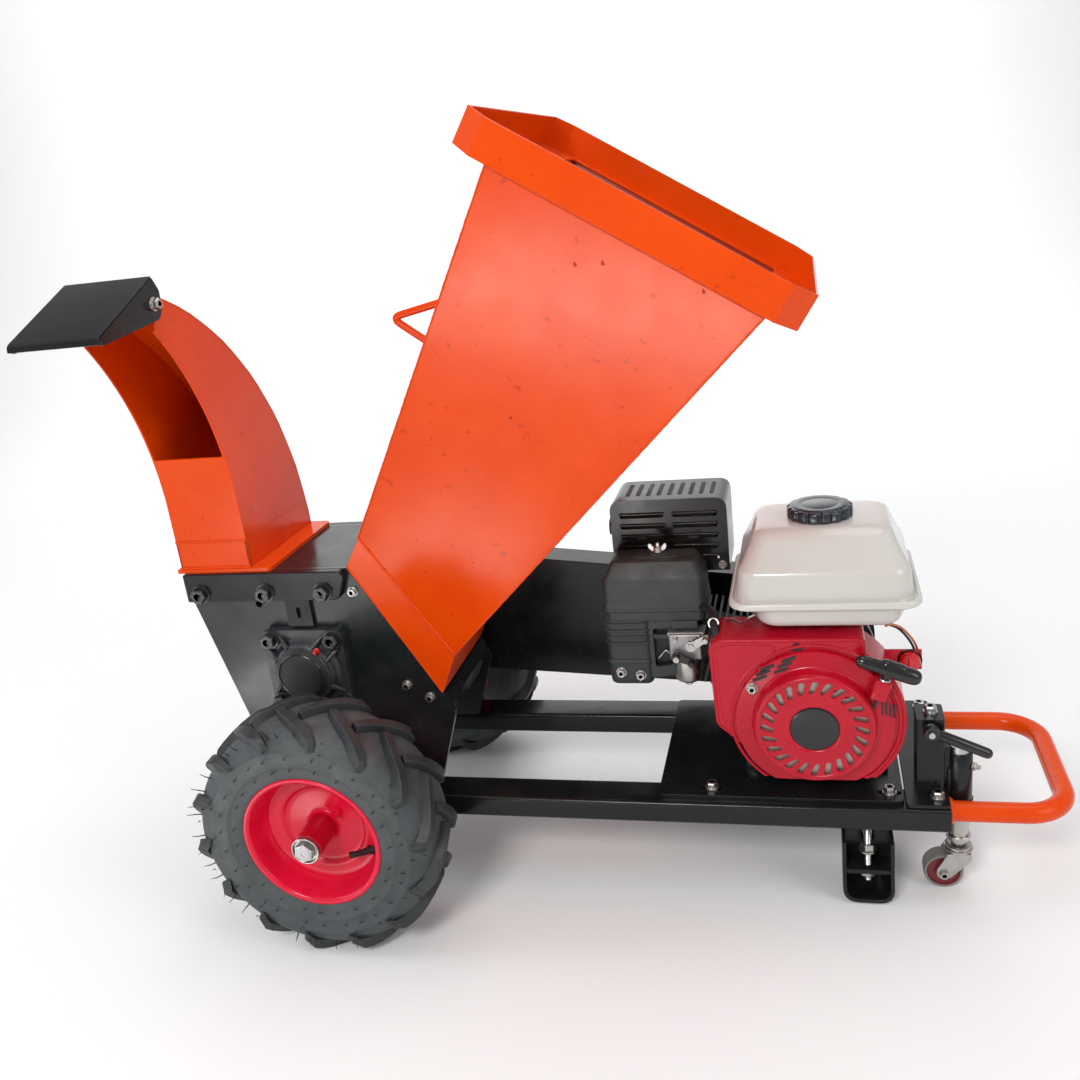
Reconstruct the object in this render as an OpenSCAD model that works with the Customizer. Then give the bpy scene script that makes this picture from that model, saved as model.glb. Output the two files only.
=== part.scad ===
// Towable wood chipper with a petrol engine, drum rotor, belt drive, sloping feed hopper and a discharge chute.
// Millimetres, +Z up, +X along the frame towards the tow loop, -Y on the discharge side. The origin is on the
// ground at the middle of the machine's outer box.

/* [Frame] */
// Outer width across the two frame rails
frame_w = 272; // [262:2:282]
// Width of the flat rail tube
rail_w = 50; // [46:1:54]
// Height of the flat rail tube
rail_h = 30; // [28:1:32]
// Wall of the rail tube
rail_wall = 3; // [2:0.5:4]
// Height of the underside of the rails above the ground
rail_z = 111; // [109:1:113]
// Diameter of the tow loop's tube
loop_d = 25; // [22:1:27]

/* [Wheels] */
// Outer diameter of the tyre over its lugs
tyre_d = 330; // [326:1:330]
// Width of the tyre
tyre_w = 102; // [96:1:104]
// Outer diameter of the rim flange
rim_d = 182; // [176:1:184]
// Diameter of the stub axle
axle_d = 20; // [18:1:22]

/* [Chamber] */
// Outer width of the chipping chamber
chamber_w = 184; // [180:1:188]
// Thickness of the chamber's side plates
plate_t = 8; // [6:1:10]
// Radius of the circle that the knife edges run on
knife_r = 108; // [100:1:112]
// Diameter of the rotor shaft
shaft_d = 35; // [30:1:35]

/* [Hopper and chute] */
// Sheet thickness of the hopper
sheet_t = 3; // [2:0.5:4]
// Half the width of the feed mouth across the rim
mouth_half_w = 224; // [218:1:228]
// Width of the discharge chute
chute_w = 106; // [100:1:106]
// Sheet thickness of the chute
chute_t = 3; // [2:0.5:4]

/* [Drive] */
// Outer diameter of the pulley on the rotor
rotor_pulley_d = 150; // [140:2:160]
// Outer diameter of the pulley on the engine
engine_pulley_d = 100; // [90:2:104]

/* [Hidden] */
$fn = 64;

// Frame heights and places
rail_top = rail_z + rail_h;
rail_y = (frame_w - rail_w) / 2;
rail_end = 421;
rail_start = -440;
plate_z = 6;
end_plate_t = 5;
deck_z = rail_top + plate_z;

// Wheel and axle
axle_x = -338;
axle_z = tyre_d / 2;
wheel_y = 238;
hub_out = 297;
hub_in = 182;
hub_d = 37;
beam_d = 46;
fit = 0.15;

// Chamber: the rotor's axis and the outline of the side plates in X and Z
rotor_x = -396;
rotor_z = 313;
side_y = chamber_w / 2;
chamber_outline = [[-555, 454], [-319, 454], [-213, 271], [-199, 241], [-223, 169], [-232, rail_top],
    [-484, rail_top], [-512, 248], [-555, 414]];
// Places of the small bolts and of the top bars' bolts
small_bolts = [[-315, 421], [-261, 284], [-231, 266]];
bar_bolt_x = [-532, -436, -352];
bar_bolt_z = 426;
bearing_size = 117;
bearing_pitch = 92;

// Drive: the crank's axis, the belt plane and the guard
crank_x = 267;
crank_z = deck_z + 106;
belt_y = 144;
guard_y0 = 121;
guard_y1 = 170;
drive_angle = atan2(crank_z - rotor_z, crank_x - rotor_x);
drive_len = norm([crank_x - rotor_x, crank_z - rotor_z]);
crank_d = 25;
base_t = 12;
engine_bolt_x = [crank_x - 79, crank_x + 78];
barrel_tilt = -75;
tank_z = 369;
stud_x = 77;
throttle_pin = [118, 322];
choke_pin = [98, 304];
rope_r = 55;
rope_y = -132;
rope_angle = 19.4;

// Hopper corners: high and low edge of the neck, of the funnel's top and of the mouth, as [X, Z]
neck_low_hi = [-319, 454];
neck_low_lo = [-213, 271];
neck_top_hi = [-294, 495];
neck_top_lo = [-187, 328];
mouth_hi = [-43, 979];
mouth_angle = -33.2;
mouth_len = 393;
mouth_cut = 27;
rim_h = 40;
rim_x0 = 48.5;
rim_x1 = 353;
funnel_hi = mouth_point(44.3);
funnel_lo = mouth_point(357.2);
neck_w = 92;
funnel_w = 216;
handle_tip = [-238, 758];
handle_top = [-112, 783];
handle_low = [-160, 698];

// Chute: its two bending circles in Y and Z, and the line that ends it
chute_x0 = -561;
chute_z0 = 454;
collar_h = 43;
back_r = 394.6;
front_r = 368;
front_z = 541;
lip_low = [-187, 787];
lip_high = [-171, 826];
hinge = [-184, 818];

// Caster and stand
jockey_x = 436.2;
jockey_y = -81;
caster_wheel_d = 48;
caster_trail = 18;
tab_z = 44;
foot_low = 2;
foot_top = 90;
foot_x = 326;
foot_y = -115;

// Point on the underside of the mouth frame, s along it from its high edge
function mouth_point(s) = mouth_hi + s * [cos(mouth_angle), sin(mouth_angle)]
    - rim_h * [-sin(mouth_angle), cos(mouth_angle)];

module plate_y(y0, t) translate([0, y0 + t, 0]) rotate([90, 0, 0]) linear_extrude(t) children();

module plate_x(x0, t) translate([x0, 0, 0]) rotate([90, 0, 90]) linear_extrude(t) children();

module rod_y(d, y0, y1) translate([0, y0, 0]) rotate([-90, 0, 0]) cylinder(d = d, h = y1 - y0);

module rod_x(d, x0, x1) translate([x0, 0, 0]) rotate([0, 90, 0]) cylinder(d = d, h = x1 - x0);

module rod_z(d, z0, z1) translate([0, 0, z0]) cylinder(d = d, h = z1 - z0);

module hex_z(af, h) cylinder(d = af / cos(30), h = h, $fn = 6);

module round_rect(w, h, r) {
    square([w - 2 * r, h], center = true);
    square([w, h - 2 * r], center = true);
    for (sx = [-1, 1], sz = [-1, 1]) translate([sx * (w / 2 - r), sz * (h / 2 - r)]) circle(r);
}

// A bolt standing on a face at z = 0 with its washer and hexagon head, its shank going down
module bolt(d = 8, shank = 12) {
    cylinder(d = d * 2.1, h = 1.6);
    translate([0, 0, 1.6]) hex_z(d * 1.6, d * 0.65);
    translate([0, 0, -shank]) cylinder(d = d, h = shank);
}

// ---------- Frame ----------

module rail(y) color("black") difference() {
    plate_x(rail_start, rail_end - rail_start) translate([y, rail_z + rail_h / 2]) round_rect(rail_w, rail_h, 5);
    plate_x(rail_start - 1, rail_end - rail_start + 2) translate([y, rail_z + rail_h / 2])
        round_rect(rail_w - 2 * rail_wall, rail_h - 2 * rail_wall, 2);
}

module rail_near() rail(-rail_y);

module rail_far() rail(rail_y);

module cross_member() color("black") difference() {
    plate_x(378, 34) translate([-frame_w / 2 + rail_w, rail_z]) square([frame_w - 2 * rail_w, rail_h]);
    plate_x(378 + rail_wall, 34 - 2 * rail_wall) translate([-frame_w / 2 + rail_w - 1, rail_z + rail_wall])
        square([frame_w - 2 * rail_w + 2, rail_h - 2 * rail_wall]);
}

module engine_plate() color("black") difference() {
    translate([71, -125, rail_top]) cube([298, 250, plate_z]);
    for (x = [138, 353], y = [-107, 107]) translate([x, y, rail_top - 1]) linear_extrude(plate_z + 2)
        round_slot(28, 8.4);
}

module end_plate() color("black") difference() {
    translate([371, -131, rail_top]) cube([50, 262, end_plate_t]);
    for (y = [-112, 112]) translate([408, y, rail_top - 1]) rod_z(8, 0, end_plate_t + 2);
}

module tow_loop() color("orangered") {
    loop_r = 50;
    loop_y = rail_y - 1;
    loop_x = 149 + rail_end - loop_d / 2;
    translate([0, 0, rail_z + rail_h / 2]) {
        for (s = [-1, 1]) {
            translate([0, s * loop_y, 0]) rod_x(loop_d, rail_end, loop_x - loop_r);
            translate([loop_x - loop_r - 0.5, s * (loop_y - loop_r), 0]) rotate([0, 0, s < 0 ? -90 : 0])
                rotate_extrude(angle = 90) translate([loop_r, 0]) circle(d = loop_d - 0.6);
            translate([0, s * loop_y, 0]) rod_x(rail_h - 2, rail_end, rail_end + 4);
        }
        translate([loop_x, 0, 0]) rod_y(loop_d, -loop_y + loop_r - 0.5, loop_y - loop_r + 0.5);
    }
}

// ---------- Jockey wheel ----------

post_d = 24;
sleeve_top = 193;
lever_x = 400;
lever_z = 236;
post_h = 100;

module jockey_bracket() color("black") {
    plate = 4;
    // Folded post on the end plate, open towards the engine
    difference() {
        translate([385, -103, rail_top + end_plate_t]) cube([32, 40, post_h]);
        translate([384, -103 + plate, rail_top + end_plate_t - 1]) cube([33 - plate, 40 - 2 * plate, post_h - 3]);
        translate([402, -83, rail_top + post_h - 10]) rod_z(8, 0, 25);
    }
    // Clamp sleeve and the plate that carries it on the rail's end
    difference() {
        union() {
            translate([jockey_x, jockey_y, 0]) rod_z(30, rail_z + 15, sleeve_top);
            translate([rail_end, jockey_y - 11, rail_z + 12]) cube([plate + 2, 40, 50]);
            translate([417, jockey_y - 8, rail_top + 10]) cube([8, 16, 50]);
        }
        translate([jockey_x, jockey_y, 0]) rod_z(post_d + 2 * fit, rail_z, sleeve_top + 10);
    }
    translate([lever_x, 0, lever_z]) rod_y(8, -124, -103);
}

module jockey_post() color("silver") translate([jockey_x, jockey_y, 0]) {
    rod_z(post_d, 76, sleeve_top + 8);
    rod_z(29, 70, 76);
    rod_z(12, 61.3, 70);
    translate([0, 0, 64]) hex_z(18, 6);
}

// Clamp lever: a hub on the bracket's cross pin and a round arm that slopes down past the sleeve
module jockey_lever() color("black") translate([lever_x, 0, lever_z]) difference() {
    union() {
        rod_y(18, -121, -105);
        translate([0, -113, 0]) rotate([0, 24, 0]) {
            rod_x(13, 0, 68);
            translate([68, 0, 0]) sphere(d = 13);
        }
    }
    rod_y(8 + 2 * fit, -130, -90);
}

// The fork hangs from a swivel cup and trails to -X
module caster_fork() color("silver") translate([jockey_x, jockey_y, 0]) {
    rod_z(34, 53.5, 61);
    translate([-14, -16.25, 50]) cube([28, 32.5, 3.5]);
    for (s = [-1, 1]) {
        plate_y(s * 15 - 1.25, 2.5) {
            translate([-caster_trail, caster_wheel_d / 2]) circle(9);
            polygon([[-14, 51], [14, 51], [14, 46], [-caster_trail + 8, caster_wheel_d / 2 - 4],
                [-caster_trail - 8, caster_wheel_d / 2 - 4]]);
        }
        translate([-caster_trail, s * 18.75, caster_wheel_d / 2]) rotate([90, 0, 0])
            translate([0, 0, -2.5]) hex_z(13, 5);
    }
    translate([-caster_trail, 0, caster_wheel_d / 2]) rod_y(8, -20, 20);
}

module caster_wheel() color("firebrick") translate([jockey_x - caster_trail, jockey_y, caster_wheel_d / 2])
    rotate([90, 0, 0]) difference() {
        rotate_extrude() polygon([[0, -12.5], [11, -12.5], [12, -9], [19, -9], [20, -11], [23, -11],
            [caster_wheel_d / 2, -8], [caster_wheel_d / 2, 8], [23, 11], [20, 11], [19, 9], [12, 9],
            [11, 12.5], [0, 12.5]]);
        translate([0, 0, -20]) cylinder(d = 8 + 2 * fit, h = 40);
    }

// ---------- Parking stand ----------

module stand_stud() color("silver") translate([foot_x, foot_y, 0]) {
    rod_z(10, 26, rail_z);
    for (z = [33, 71]) translate([0, 0, z]) hex_z(17, 9);
    rod_z(22, 42, 43.7);
    rod_z(22, 69, 71);
    rod_z(22, rail_z - 3, rail_z);
}

// An upright channel, open towards -Y, with rounded lower corners and a tab that rides on the stud
module stand_foot() color("black") difference() {
    foot_w = 62;
    translate([foot_x, 0, 0]) union() {
        plate_y(foot_y - 18, 36) difference() {
            foot_outline(foot_w, 0);
            foot_outline(foot_w, 5);
        }
        plate_y(foot_y + 14, 4) foot_outline(foot_w, 0);
        translate([-27, foot_y - 16, tab_z]) cube([54, 32, 6]);
    }
    translate([foot_x, foot_y, 0]) rod_z(10 + 2 * fit, tab_z - 10, tab_z + 10);
}

module foot_outline(w, inset) {
    r = 20 - inset;
    half = w / 2 - inset;
    z0 = foot_low + inset;
    z1 = foot_top + (inset > 0 ? 6 : 0);
    translate([-half, z0 + r]) square([2 * half, z1 - z0 - r]);
    translate([-half + r, z0]) square([2 * (half - r), r + 1]);
    for (s = [-1, 1]) translate([s * (half - r), z0 + r]) circle(r);
}

// ---------- Road wheels ----------

module axle_beam() color("black") translate([axle_x, 0, axle_z]) {
    rod_y(beam_d, -176, 176);
    rod_y(axle_d, -hub_out - 8, hub_out + 8);
}

module tyre(s) color("dimgray") {
    half = tyre_w / 2;
    bead = rim_d / 2 - 8;
    crown = tyre_d / 2;
    translate([axle_x, s * wheel_y, axle_z]) rotate([90, 0, 0]) rotate_extrude() polygon([
        [bead, -half + 15], [bead + 8.4, -half + 11.4], [bead + 8.4, -half + 8], [100, -half + 3], [118, -half],
        [136, -half], [150, -half + 4], [crown - 5, -half + 14], [crown, -22], [crown, 22], [crown - 5, half - 14],
        [150, half - 4], [136, half], [118, half], [100, half - 3], [bead + 8.4, half - 8],
        [bead + 8.4, half - 11.4], [bead, half - 15], [bead, half - 24], [108, half - 14], [130, half - 14],
        [146, half - 24], [148, 0], [146, -half + 24], [130, -half + 14], [108, -half + 14], [bead, -half + 24]]);
}

module tyre_near() tyre(-1);

module tyre_far() tyre(1);

// Pressed rim: two flanges, a well, a dished disc and a long hub tube; outer face towards side s
module rim(s) color("crimson") translate([axle_x, 0, axle_z]) rotate([s * -90, 0, 0]) {
    inner = wheel_y - tyre_w / 2 + 9;
    outer = wheel_y + tyre_w / 2 - 9;
    well_r = rim_d / 2 - 9;
    rotate_extrude() polygon([[rim_d / 2, inner], [rim_d / 2, inner + 2], [well_r, inner + 6],
        [well_r, wheel_y - 14], [well_r - 10, wheel_y - 6], [well_r - 10, wheel_y + 6], [well_r, wheel_y + 14],
        [well_r, outer - 6], [rim_d / 2, outer - 2], [rim_d / 2, outer], [well_r + 3, outer], [well_r - 3, outer - 6],
        [well_r - 3, wheel_y + 14], [well_r - 13, wheel_y + 7], [56, wheel_y + 7], [52, wheel_y + 3],
        [hub_d / 2, wheel_y + 3], [hub_d / 2, hub_out - 3], [axle_d / 2 + fit, hub_out - 3],
        [axle_d / 2 + fit, hub_in], [hub_d / 2, hub_in], [hub_d / 2, wheel_y], [53, wheel_y], [57, wheel_y + 4],
        [well_r - 13, wheel_y + 4], [well_r - 13, wheel_y - 7], [well_r - 3, wheel_y - 15],
        [well_r - 3, inner + 6], [well_r + 3, inner]]);
}

module rim_near() rim(-1);

module rim_far() rim(1);

module axle_nuts() color("silver") for (s = [-1, 1]) translate([axle_x, 0, axle_z]) rotate([s * -90, 0, 0])
    difference() {
        union() {
            rod_z(36, hub_out - 2.6, hub_out - 0.6);
            translate([0, 0, hub_out - 0.6]) hex_z(24, 9);
        }
        rod_z(axle_d, hub_out - 10, hub_out + 8);
    }

// ---------- Chipping chamber ----------

module side_plate(y0) color("black") difference() {
    plate_y(y0, plate_t) polygon(chamber_outline);
    translate([rotor_x, 0, rotor_z]) rod_y(shaft_d + 8, y0 - 1, y0 + plate_t + 1);
    translate([axle_x, 0, axle_z]) rod_y(beam_d, y0 - 1, y0 + plate_t + 1);
    for (q = small_bolts) translate([q[0], 0, q[1]]) rod_y(6, y0 - 1, y0 + plate_t + 1);
}

module side_plate_near() side_plate(-side_y);

module side_plate_far() side_plate(side_y - plate_t);

// Folded wall between the side plates: down the left side, under the rotor and up to the feed opening
module chamber_shell() color("black") plate_y(-side_y + plate_t, chamber_w - 2 * plate_t)
    polygon([[-555, 454], [-555, 414], [-512, 248], [-478, 190], [-250, 190], [-216, 222], [-206, 250],
        [-214, 267], [-223, 263], [-217, 249], [-225, 228], [-256, 200], [-474, 200], [-502, 252],
        [-545, 416], [-545, 454]]);

module top_bars() color("black") difference() {
    union() {
        for (s = [-1, 1]) plate_y(s * (side_y + 6) - 6, 12) polygon([[-555, 454], [-325, 454], [-319, 446],
            [-330, 416], [-338, 414], [-555, 414]]);
        translate([-452, -side_y + plate_t, 446]) cube([130, chamber_w - 2 * plate_t, 8]);
        for (s = [-1, 1]) translate([rotor_x - 18, s > 0 ? side_y : -side_y - 6, rotor_z + bearing_size / 2 + 1])
            cube([36, 6, 42]);
    }
    for (x = bar_bolt_x) translate([x, 0, bar_bolt_z]) rod_y(10, -120, 120);
}

module anvil() color("silver") translate([rotor_x, 0, rotor_z]) rotate([0, -6, 0])
    translate([knife_r + 2, -side_y + plate_t, -18]) cube([38, chamber_w - 2 * plate_t, 12]);

// ---------- Rotor ----------

rotor_w = chamber_w - 2 * plate_t - 12;

module rotor_drum() color("dimgray") translate([rotor_x, 0, rotor_z]) difference() {
    rod_y(2 * knife_r - 22, -rotor_w / 2, rotor_w / 2);
    rod_y(shaft_d, -rotor_w / 2 - 1, rotor_w / 2 + 1);
    for (a = [0, 180]) rotate([0, a, 0]) translate([knife_r - 46, -rotor_w / 2 - 1, 10])
        rotate([0, 30, 0]) cube([60, rotor_w + 2, 40]);
}

module rotor_knives() color("silver") translate([rotor_x, 0, rotor_z])
    for (a = [0, 180]) rotate([0, a, 0]) translate([knife_r - 46, -rotor_w / 2, 10]) rotate([0, 30, 0])
        cube([47, rotor_w, 9]);

module rotor_shaft() color("silver") translate([rotor_x, 0, rotor_z])
    rod_y(shaft_d, -side_y - 28, guard_y1 - 8);

// ---------- Bearings ----------

module bearing_unit(s) translate([rotor_x, s * side_y, rotor_z]) rotate([s * -90, 0, 0]) difference() {
    union() {
        linear_extrude(14) round_rect(bearing_size, bearing_size, 14);
        cylinder(d1 = 96, d2 = 80, h = 26);
        cylinder(d = 80, h = 29);
    }
    translate([0, 0, -1]) cylinder(d = shaft_d + 2 * fit, h = 40);
    for (dx = [-1, 1], dz = [-1, 1]) translate([dx * bearing_pitch / 2, dz * bearing_pitch / 2, -1])
        cylinder(d = 12, h = 30);
}

// Both flange units, with the domed cap that closes the near one
module bearing_units() {
    color("gray") for (s = [-1, 1]) bearing_unit(s);
    color("dimgray") translate([rotor_x, -side_y - 29, rotor_z]) rotate([90, 0, 0])
        rotate_extrude() polygon([[0, 8], [28, 8], [34, 5], [37, 0], [34, 0], [27, 5], [0, 5]]);
}

module chamber_bolts() color("silver") for (s = [-1, 1]) {
    for (x = bar_bolt_x) translate([x, s * (side_y + 12), bar_bolt_z]) rotate([s * -90, 0, 0]) bolt(10, 12);
    for (q = small_bolts) translate([q[0], s * side_y, q[1]]) rotate([s * -90, 0, 0]) bolt(6, 8);
    for (dx = [-1, 1], dz = [-1, 1]) translate([rotor_x + dx * bearing_pitch / 2, s * (side_y + 14),
        rotor_z + dz * bearing_pitch / 2]) rotate([s * -90, 0, 0]) bolt(12, 14);
}

// ---------- Belt drive ----------

function arc(c, r, a0, a1, n) = [for (i = [0 : n]) c + r * [cos(a0 + (a1 - a0) * i / n), sin(a0 + (a1 - a0) * i / n)]];

// Outline that runs round two circles and along their outer tangents, from the rotor's axis to the crank's
module drive_loop(r1, r2) {
    b = acos((r1 - r2) / drive_len);
    translate([rotor_x, rotor_z]) rotate(drive_angle)
        polygon(concat(arc([0, 0], r1, b, 360 - b, 40), arc([drive_len, 0], r2, -b, b, 32)));
}

// Two-groove pulley about its own axis, centred on the belt plane
module pulley(d, bore) rotate([90, 0, 0]) difference() {
    r = d / 2;
    rotate_extrude() polygon([[0, -19], [r, -19], [r, -13], [r - 12, -10], [r - 12, -6], [r, -3], [r, 3],
        [r - 12, 6], [r - 12, 10], [r, 13], [r, 19], [0, 19]]);
    translate([0, 0, -30]) cylinder(d = bore, h = 60);
}

module rotor_pulley() color("dimgray") translate([rotor_x, belt_y, rotor_z]) pulley(rotor_pulley_d, shaft_d);

module engine_pulley() color("dimgray") translate([crank_x, belt_y, crank_z]) pulley(engine_pulley_d, crank_d);

module drive_belts() color("black") for (s = [-1, 1]) plate_y(belt_y + s * 8 - 2.5, 5) difference() {
    drive_loop(rotor_pulley_d / 2 - 1, engine_pulley_d / 2 - 1);
    drive_loop(rotor_pulley_d / 2 - 8, engine_pulley_d / 2 - 8);
}

module belt_guard() color("black") {
    difference() {
        plate_y(guard_y0, guard_y1 - guard_y0) drive_loop(98, 84);
        plate_y(guard_y0 + 2.5, guard_y1 - guard_y0 - 5) drive_loop(95.5, 81.5);
        translate([rotor_x, 0, rotor_z]) rod_y(86, guard_y0 - 1, guard_y0 + 4);
        translate([crank_x, 0, crank_z]) rod_y(76, guard_y0 - 1, guard_y0 + 4);
    }
    // Arms to the chamber's side plate and to the engine plate
    for (z = [262, 330]) translate([-322, side_y, z]) cube([16, guard_y0 - side_y, 20]);
    for (x = [176, 300]) {
        translate([x, 96, deck_z]) cube([24, guard_y0 - 96, 5]);
        translate([x, guard_y0 - 4, deck_z]) cube([24, 4, 66]);
    }
}

// ---------- Feed hopper ----------

// Solid with four edges, from the line a0-a1 at half width w0 up to the line b0-b1 at half width w1
module feed_solid(a0, a1, w0, b0, b1, w1) polyhedron(
    points = [[a0[0], -w0, a0[1]], [a1[0], -w0, a1[1]], [a1[0], w0, a1[1]], [a0[0], w0, a0[1]],
        [b0[0], -w1, b0[1]], [b1[0], -w1, b1[1]], [b1[0], w1, b1[1]], [b0[0], w1, b0[1]]],
    faces = [[0, 1, 2, 3], [4, 7, 6, 5], [0, 4, 5], [0, 5, 1], [1, 5, 6, 2], [2, 6, 7], [2, 7, 3], [3, 7, 4, 0]]);

function along(a, b, d) = a + d * (b - a) / norm(b - a);

// Open sheet tube of that shape
module feed_shell(a0, a1, w0, b0, b1, w1) difference() {
    t = sheet_t * 1.09;
    feed_solid(a0, a1, w0, b0, b1, w1);
    i0 = along(a0, a1, t);
    i1 = along(a1, a0, t);
    j0 = along(b0, b1, t);
    j1 = along(b1, b0, t);
    flare = 2 * (w1 - w0) / norm(b0 - a0);
    feed_solid(along(i0, j0, -2), along(i1, j1, -2), w0 - t - flare, along(j0, i0, -2), along(j1, i1, -2),
        w1 - t + flare);
}

module hopper_neck() color("orangered")
    feed_shell(neck_low_hi, neck_low_lo, neck_w, neck_top_hi, neck_top_lo, neck_w);

module hopper_funnel() color("orangered")
    feed_shell(neck_top_hi, neck_top_lo, neck_w, funnel_hi, funnel_lo, funnel_w);

// Mouth frame: a band with cut corners, square to the sloping mouth
module hopper_rim() color("orangered") translate([mouth_hi[0], 0, mouth_hi[1]]) rotate([0, -mouth_angle, 0])
    translate([0, 0, -rim_h]) difference() {
        linear_extrude(rim_h) cut_rect(mouth_len, 2 * mouth_half_w, mouth_cut, 0);
        translate([0, 0, sheet_t]) linear_extrude(rim_h) cut_rect(mouth_len, 2 * mouth_half_w, mouth_cut, sheet_t);
        translate([rim_x0, -funnel_w + 4, -1]) cube([rim_x1 - rim_x0, 2 * funnel_w - 8, 10]);
    }

module cut_rect(l, w, c, inset) polygon([[c, -w / 2 + inset], [l - c, -w / 2 + inset],
    [l - inset, -w / 2 + c], [l - inset, w / 2 - c], [l - c, w / 2 - inset], [c, w / 2 - inset],
    [inset, w / 2 - c], [inset, -w / 2 + c]]);

// Three-cornered grab handle of bent rod on the high side of the funnel
module hopper_handle() color("orangered") difference() {
    union() {
        rod_end(handle_top, handle_tip);
        rod_end(handle_low, handle_tip);
        translate([handle_tip[0], 0, handle_tip[1]]) sphere(d = 10);
    }
    feed_solid(neck_top_hi, neck_top_lo, neck_w, funnel_hi, funnel_lo, funnel_w);
}

module rod_end(a, b) translate([a[0], 0, a[1]]) rotate([0, 90 - atan2(b[1] - a[1], b[0] - a[0]), 0])
    cylinder(d = 10, h = norm(b - a));

// ---------- Discharge chute ----------

// Side view of the chute in Y and Z, drawn in by t all round
module chute_side(t) difference() {
    intersection() {
        translate([side_y - back_r, chute_z0]) circle(back_r - t, $fn = 160);
        polygon([[-side_y + t, chute_z0 + collar_h], [110, chute_z0 + collar_h], [110, 800], lip_high + [6, 14.6],
            lip_high, lip_low, lip_low - [6, 14.6], [-side_y + t, front_z]]);
    }
    translate([-side_y - front_r, front_z]) circle(front_r + t, $fn = 160);
}

module chute() color("orangered") difference() {
    union() {
        plate_x(chute_x0, chute_w) chute_side(0);
        for (x = [chute_x0, chute_x0 + chute_w - chute_t]) plate_x(x, chute_t) translate(hinge) circle(13);
    }
    plate_x(chute_x0 + chute_t, chute_w - 2 * chute_t) {
        chute_side(chute_t);
        polygon([[-115, 613], [-85, 613], [-105, 700], [-155, 775], [-172, 800], [-166, 818], [-215, 836],
            [-220, 780], [-160, 690]]);
    }
    translate([chute_x0 + chute_t, -side_y + chute_t, chute_z0])
        cube([chute_w - 2 * chute_t, 2 * (side_y - chute_t), collar_h + 6]);
    translate([chute_x0 - 1, hinge[0], hinge[1]]) rod_x(8, 0, chute_w + 2);
}

module chute_collar() color("orangered") difference() {
    union() {
        translate([chute_x0, -side_y, chute_z0 + 5]) cube([chute_w, 2 * side_y, collar_h - 5]);
        translate([chute_x0 - 4, -side_y - 6, chute_z0]) cube([chute_w + 34, 2 * side_y + 12, 5]);
    }
    translate([chute_x0 + chute_t, -side_y + chute_t, chute_z0 - 1])
        cube([chute_w - 2 * chute_t, 2 * (side_y - chute_t), collar_h + 2]);
}

// Hinged cap over the chute's end: a sloping plate with two cheeks
module deflector() color("black") {
    x0 = chute_x0 - 5;
    w = chute_w + 10;
    difference() {
        union() {
            plate_x(x0, w) polygon([[-178, 849], [-294, 798], [-292.8, 795.3], [-176.8, 846.3]]);
            for (x = [x0, x0 + w - 3]) plate_x(x, 3)
                polygon([[-178, 849], [-294, 798], [-289, 789], [-176, 801], [-168, 812]]);
        }
        translate([0, hinge[0], hinge[1]]) rod_x(8 + 2 * fit, x0 - 10, x0 + w + 10);
    }
}

module deflector_pins() color("silver") for (s = [0, 1]) translate([chute_x0 + s * chute_w, hinge[0], hinge[1]])
    rotate([0, s * 180 - 90, 0]) {
        translate([0, 0, -4]) cylinder(d = 8, h = 12);
        translate([0, 0, 5.6]) hex_z(13, 3.2);
    }

// ---------- Engine ----------

module crankcase() color("silver") difference() {
    union() {
        translate([crank_x - 88, -52, deck_z]) cube([176, 126, base_t]);
        translate([crank_x - 70, -46, deck_z + base_t]) cube([138, 108, 96]);
        translate([crank_x, 0, crank_z]) {
            rod_y(208, -52, -46);
            rod_y(150, -46, 62);
            rod_y(164, 62, 74);
            rod_y(64, 74, 96);
            rotate([0, barrel_tilt, 0]) translate([-46, 0, 0]) cube([92, 78, 92]);
        }
        translate([crank_x + 52, 20, deck_z + 30]) rotate([0, 60, 0]) rod_z(24, 0, 34);
        for (x = [-40, 50], y = [-30, 50]) translate([crank_x + x, y, 0]) rod_z(14, crank_z + 30, tank_z);
    }
    translate([crank_x, 0, crank_z]) rod_y(crank_d + 2 * fit, -60, 120);
    for (x = engine_bolt_x, y = [-38, 64]) translate([x, y, deck_z - 1]) rod_z(8, 0, base_t + 2);
}

// Finned barrel and head, leaning over to -X, with the plug's boss
module engine_barrel() color("silver") translate([crank_x, 0, crank_z]) rotate([0, barrel_tilt, 0]) {
    for (d = [96 : 9 : 141]) translate([-46, -2, d]) cube([92, 86, 3]);
    translate([0, 41, 92]) cylinder(d = 76, h = 60);
    translate([-44, 0, 148]) cube([88, 84, 27]);
    translate([10, 1, 160]) rotate([90, 0, 0]) cylinder(d = 14, h = 12);
}

module crankshaft() color("silver") translate([crank_x, 0, crank_z]) rod_y(crank_d, -116, guard_y1 - 6);

module flywheel() color("lightgray") translate([crank_x, 0, crank_z]) difference() {
    union() {
        rod_y(150, -70, -58);
        rod_y(76, -112, -58);
        for (a = [0 : 22.5 : 337.5]) rotate([0, a, 0]) translate([34, -104, -1.5]) cube([40, 35, 3]);
    }
    rod_y(crank_d, -120, -50);
}

module shroud_outline(t) {
    circle(106 - t);
    polygon([[-121 + t, 96 - t], [-109 + t, 107 - t], [60 - t, 107 - t], [60 - t, 0], [-44 + t, -82 + t],
        [-117 + t, -8]]);
}

module fan_shroud() color("crimson") translate([crank_x, 0, crank_z]) {
    difference() {
        intersection() {
            plate_y(-118, 66) shroud_outline(0);
            translate([-160, -130, -79]) cube([320, 100, 220]);
        }
        plate_y(-115, 80) intersection() {
            shroud_outline(2.5);
            translate([-160, -76.5]) square([320, 220]);
        }
        rod_y(176, -130, -110);
    }
    // Bracket of the stop switch
    translate([84, -58, 37]) cube([44, 4, 26]);
}

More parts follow.
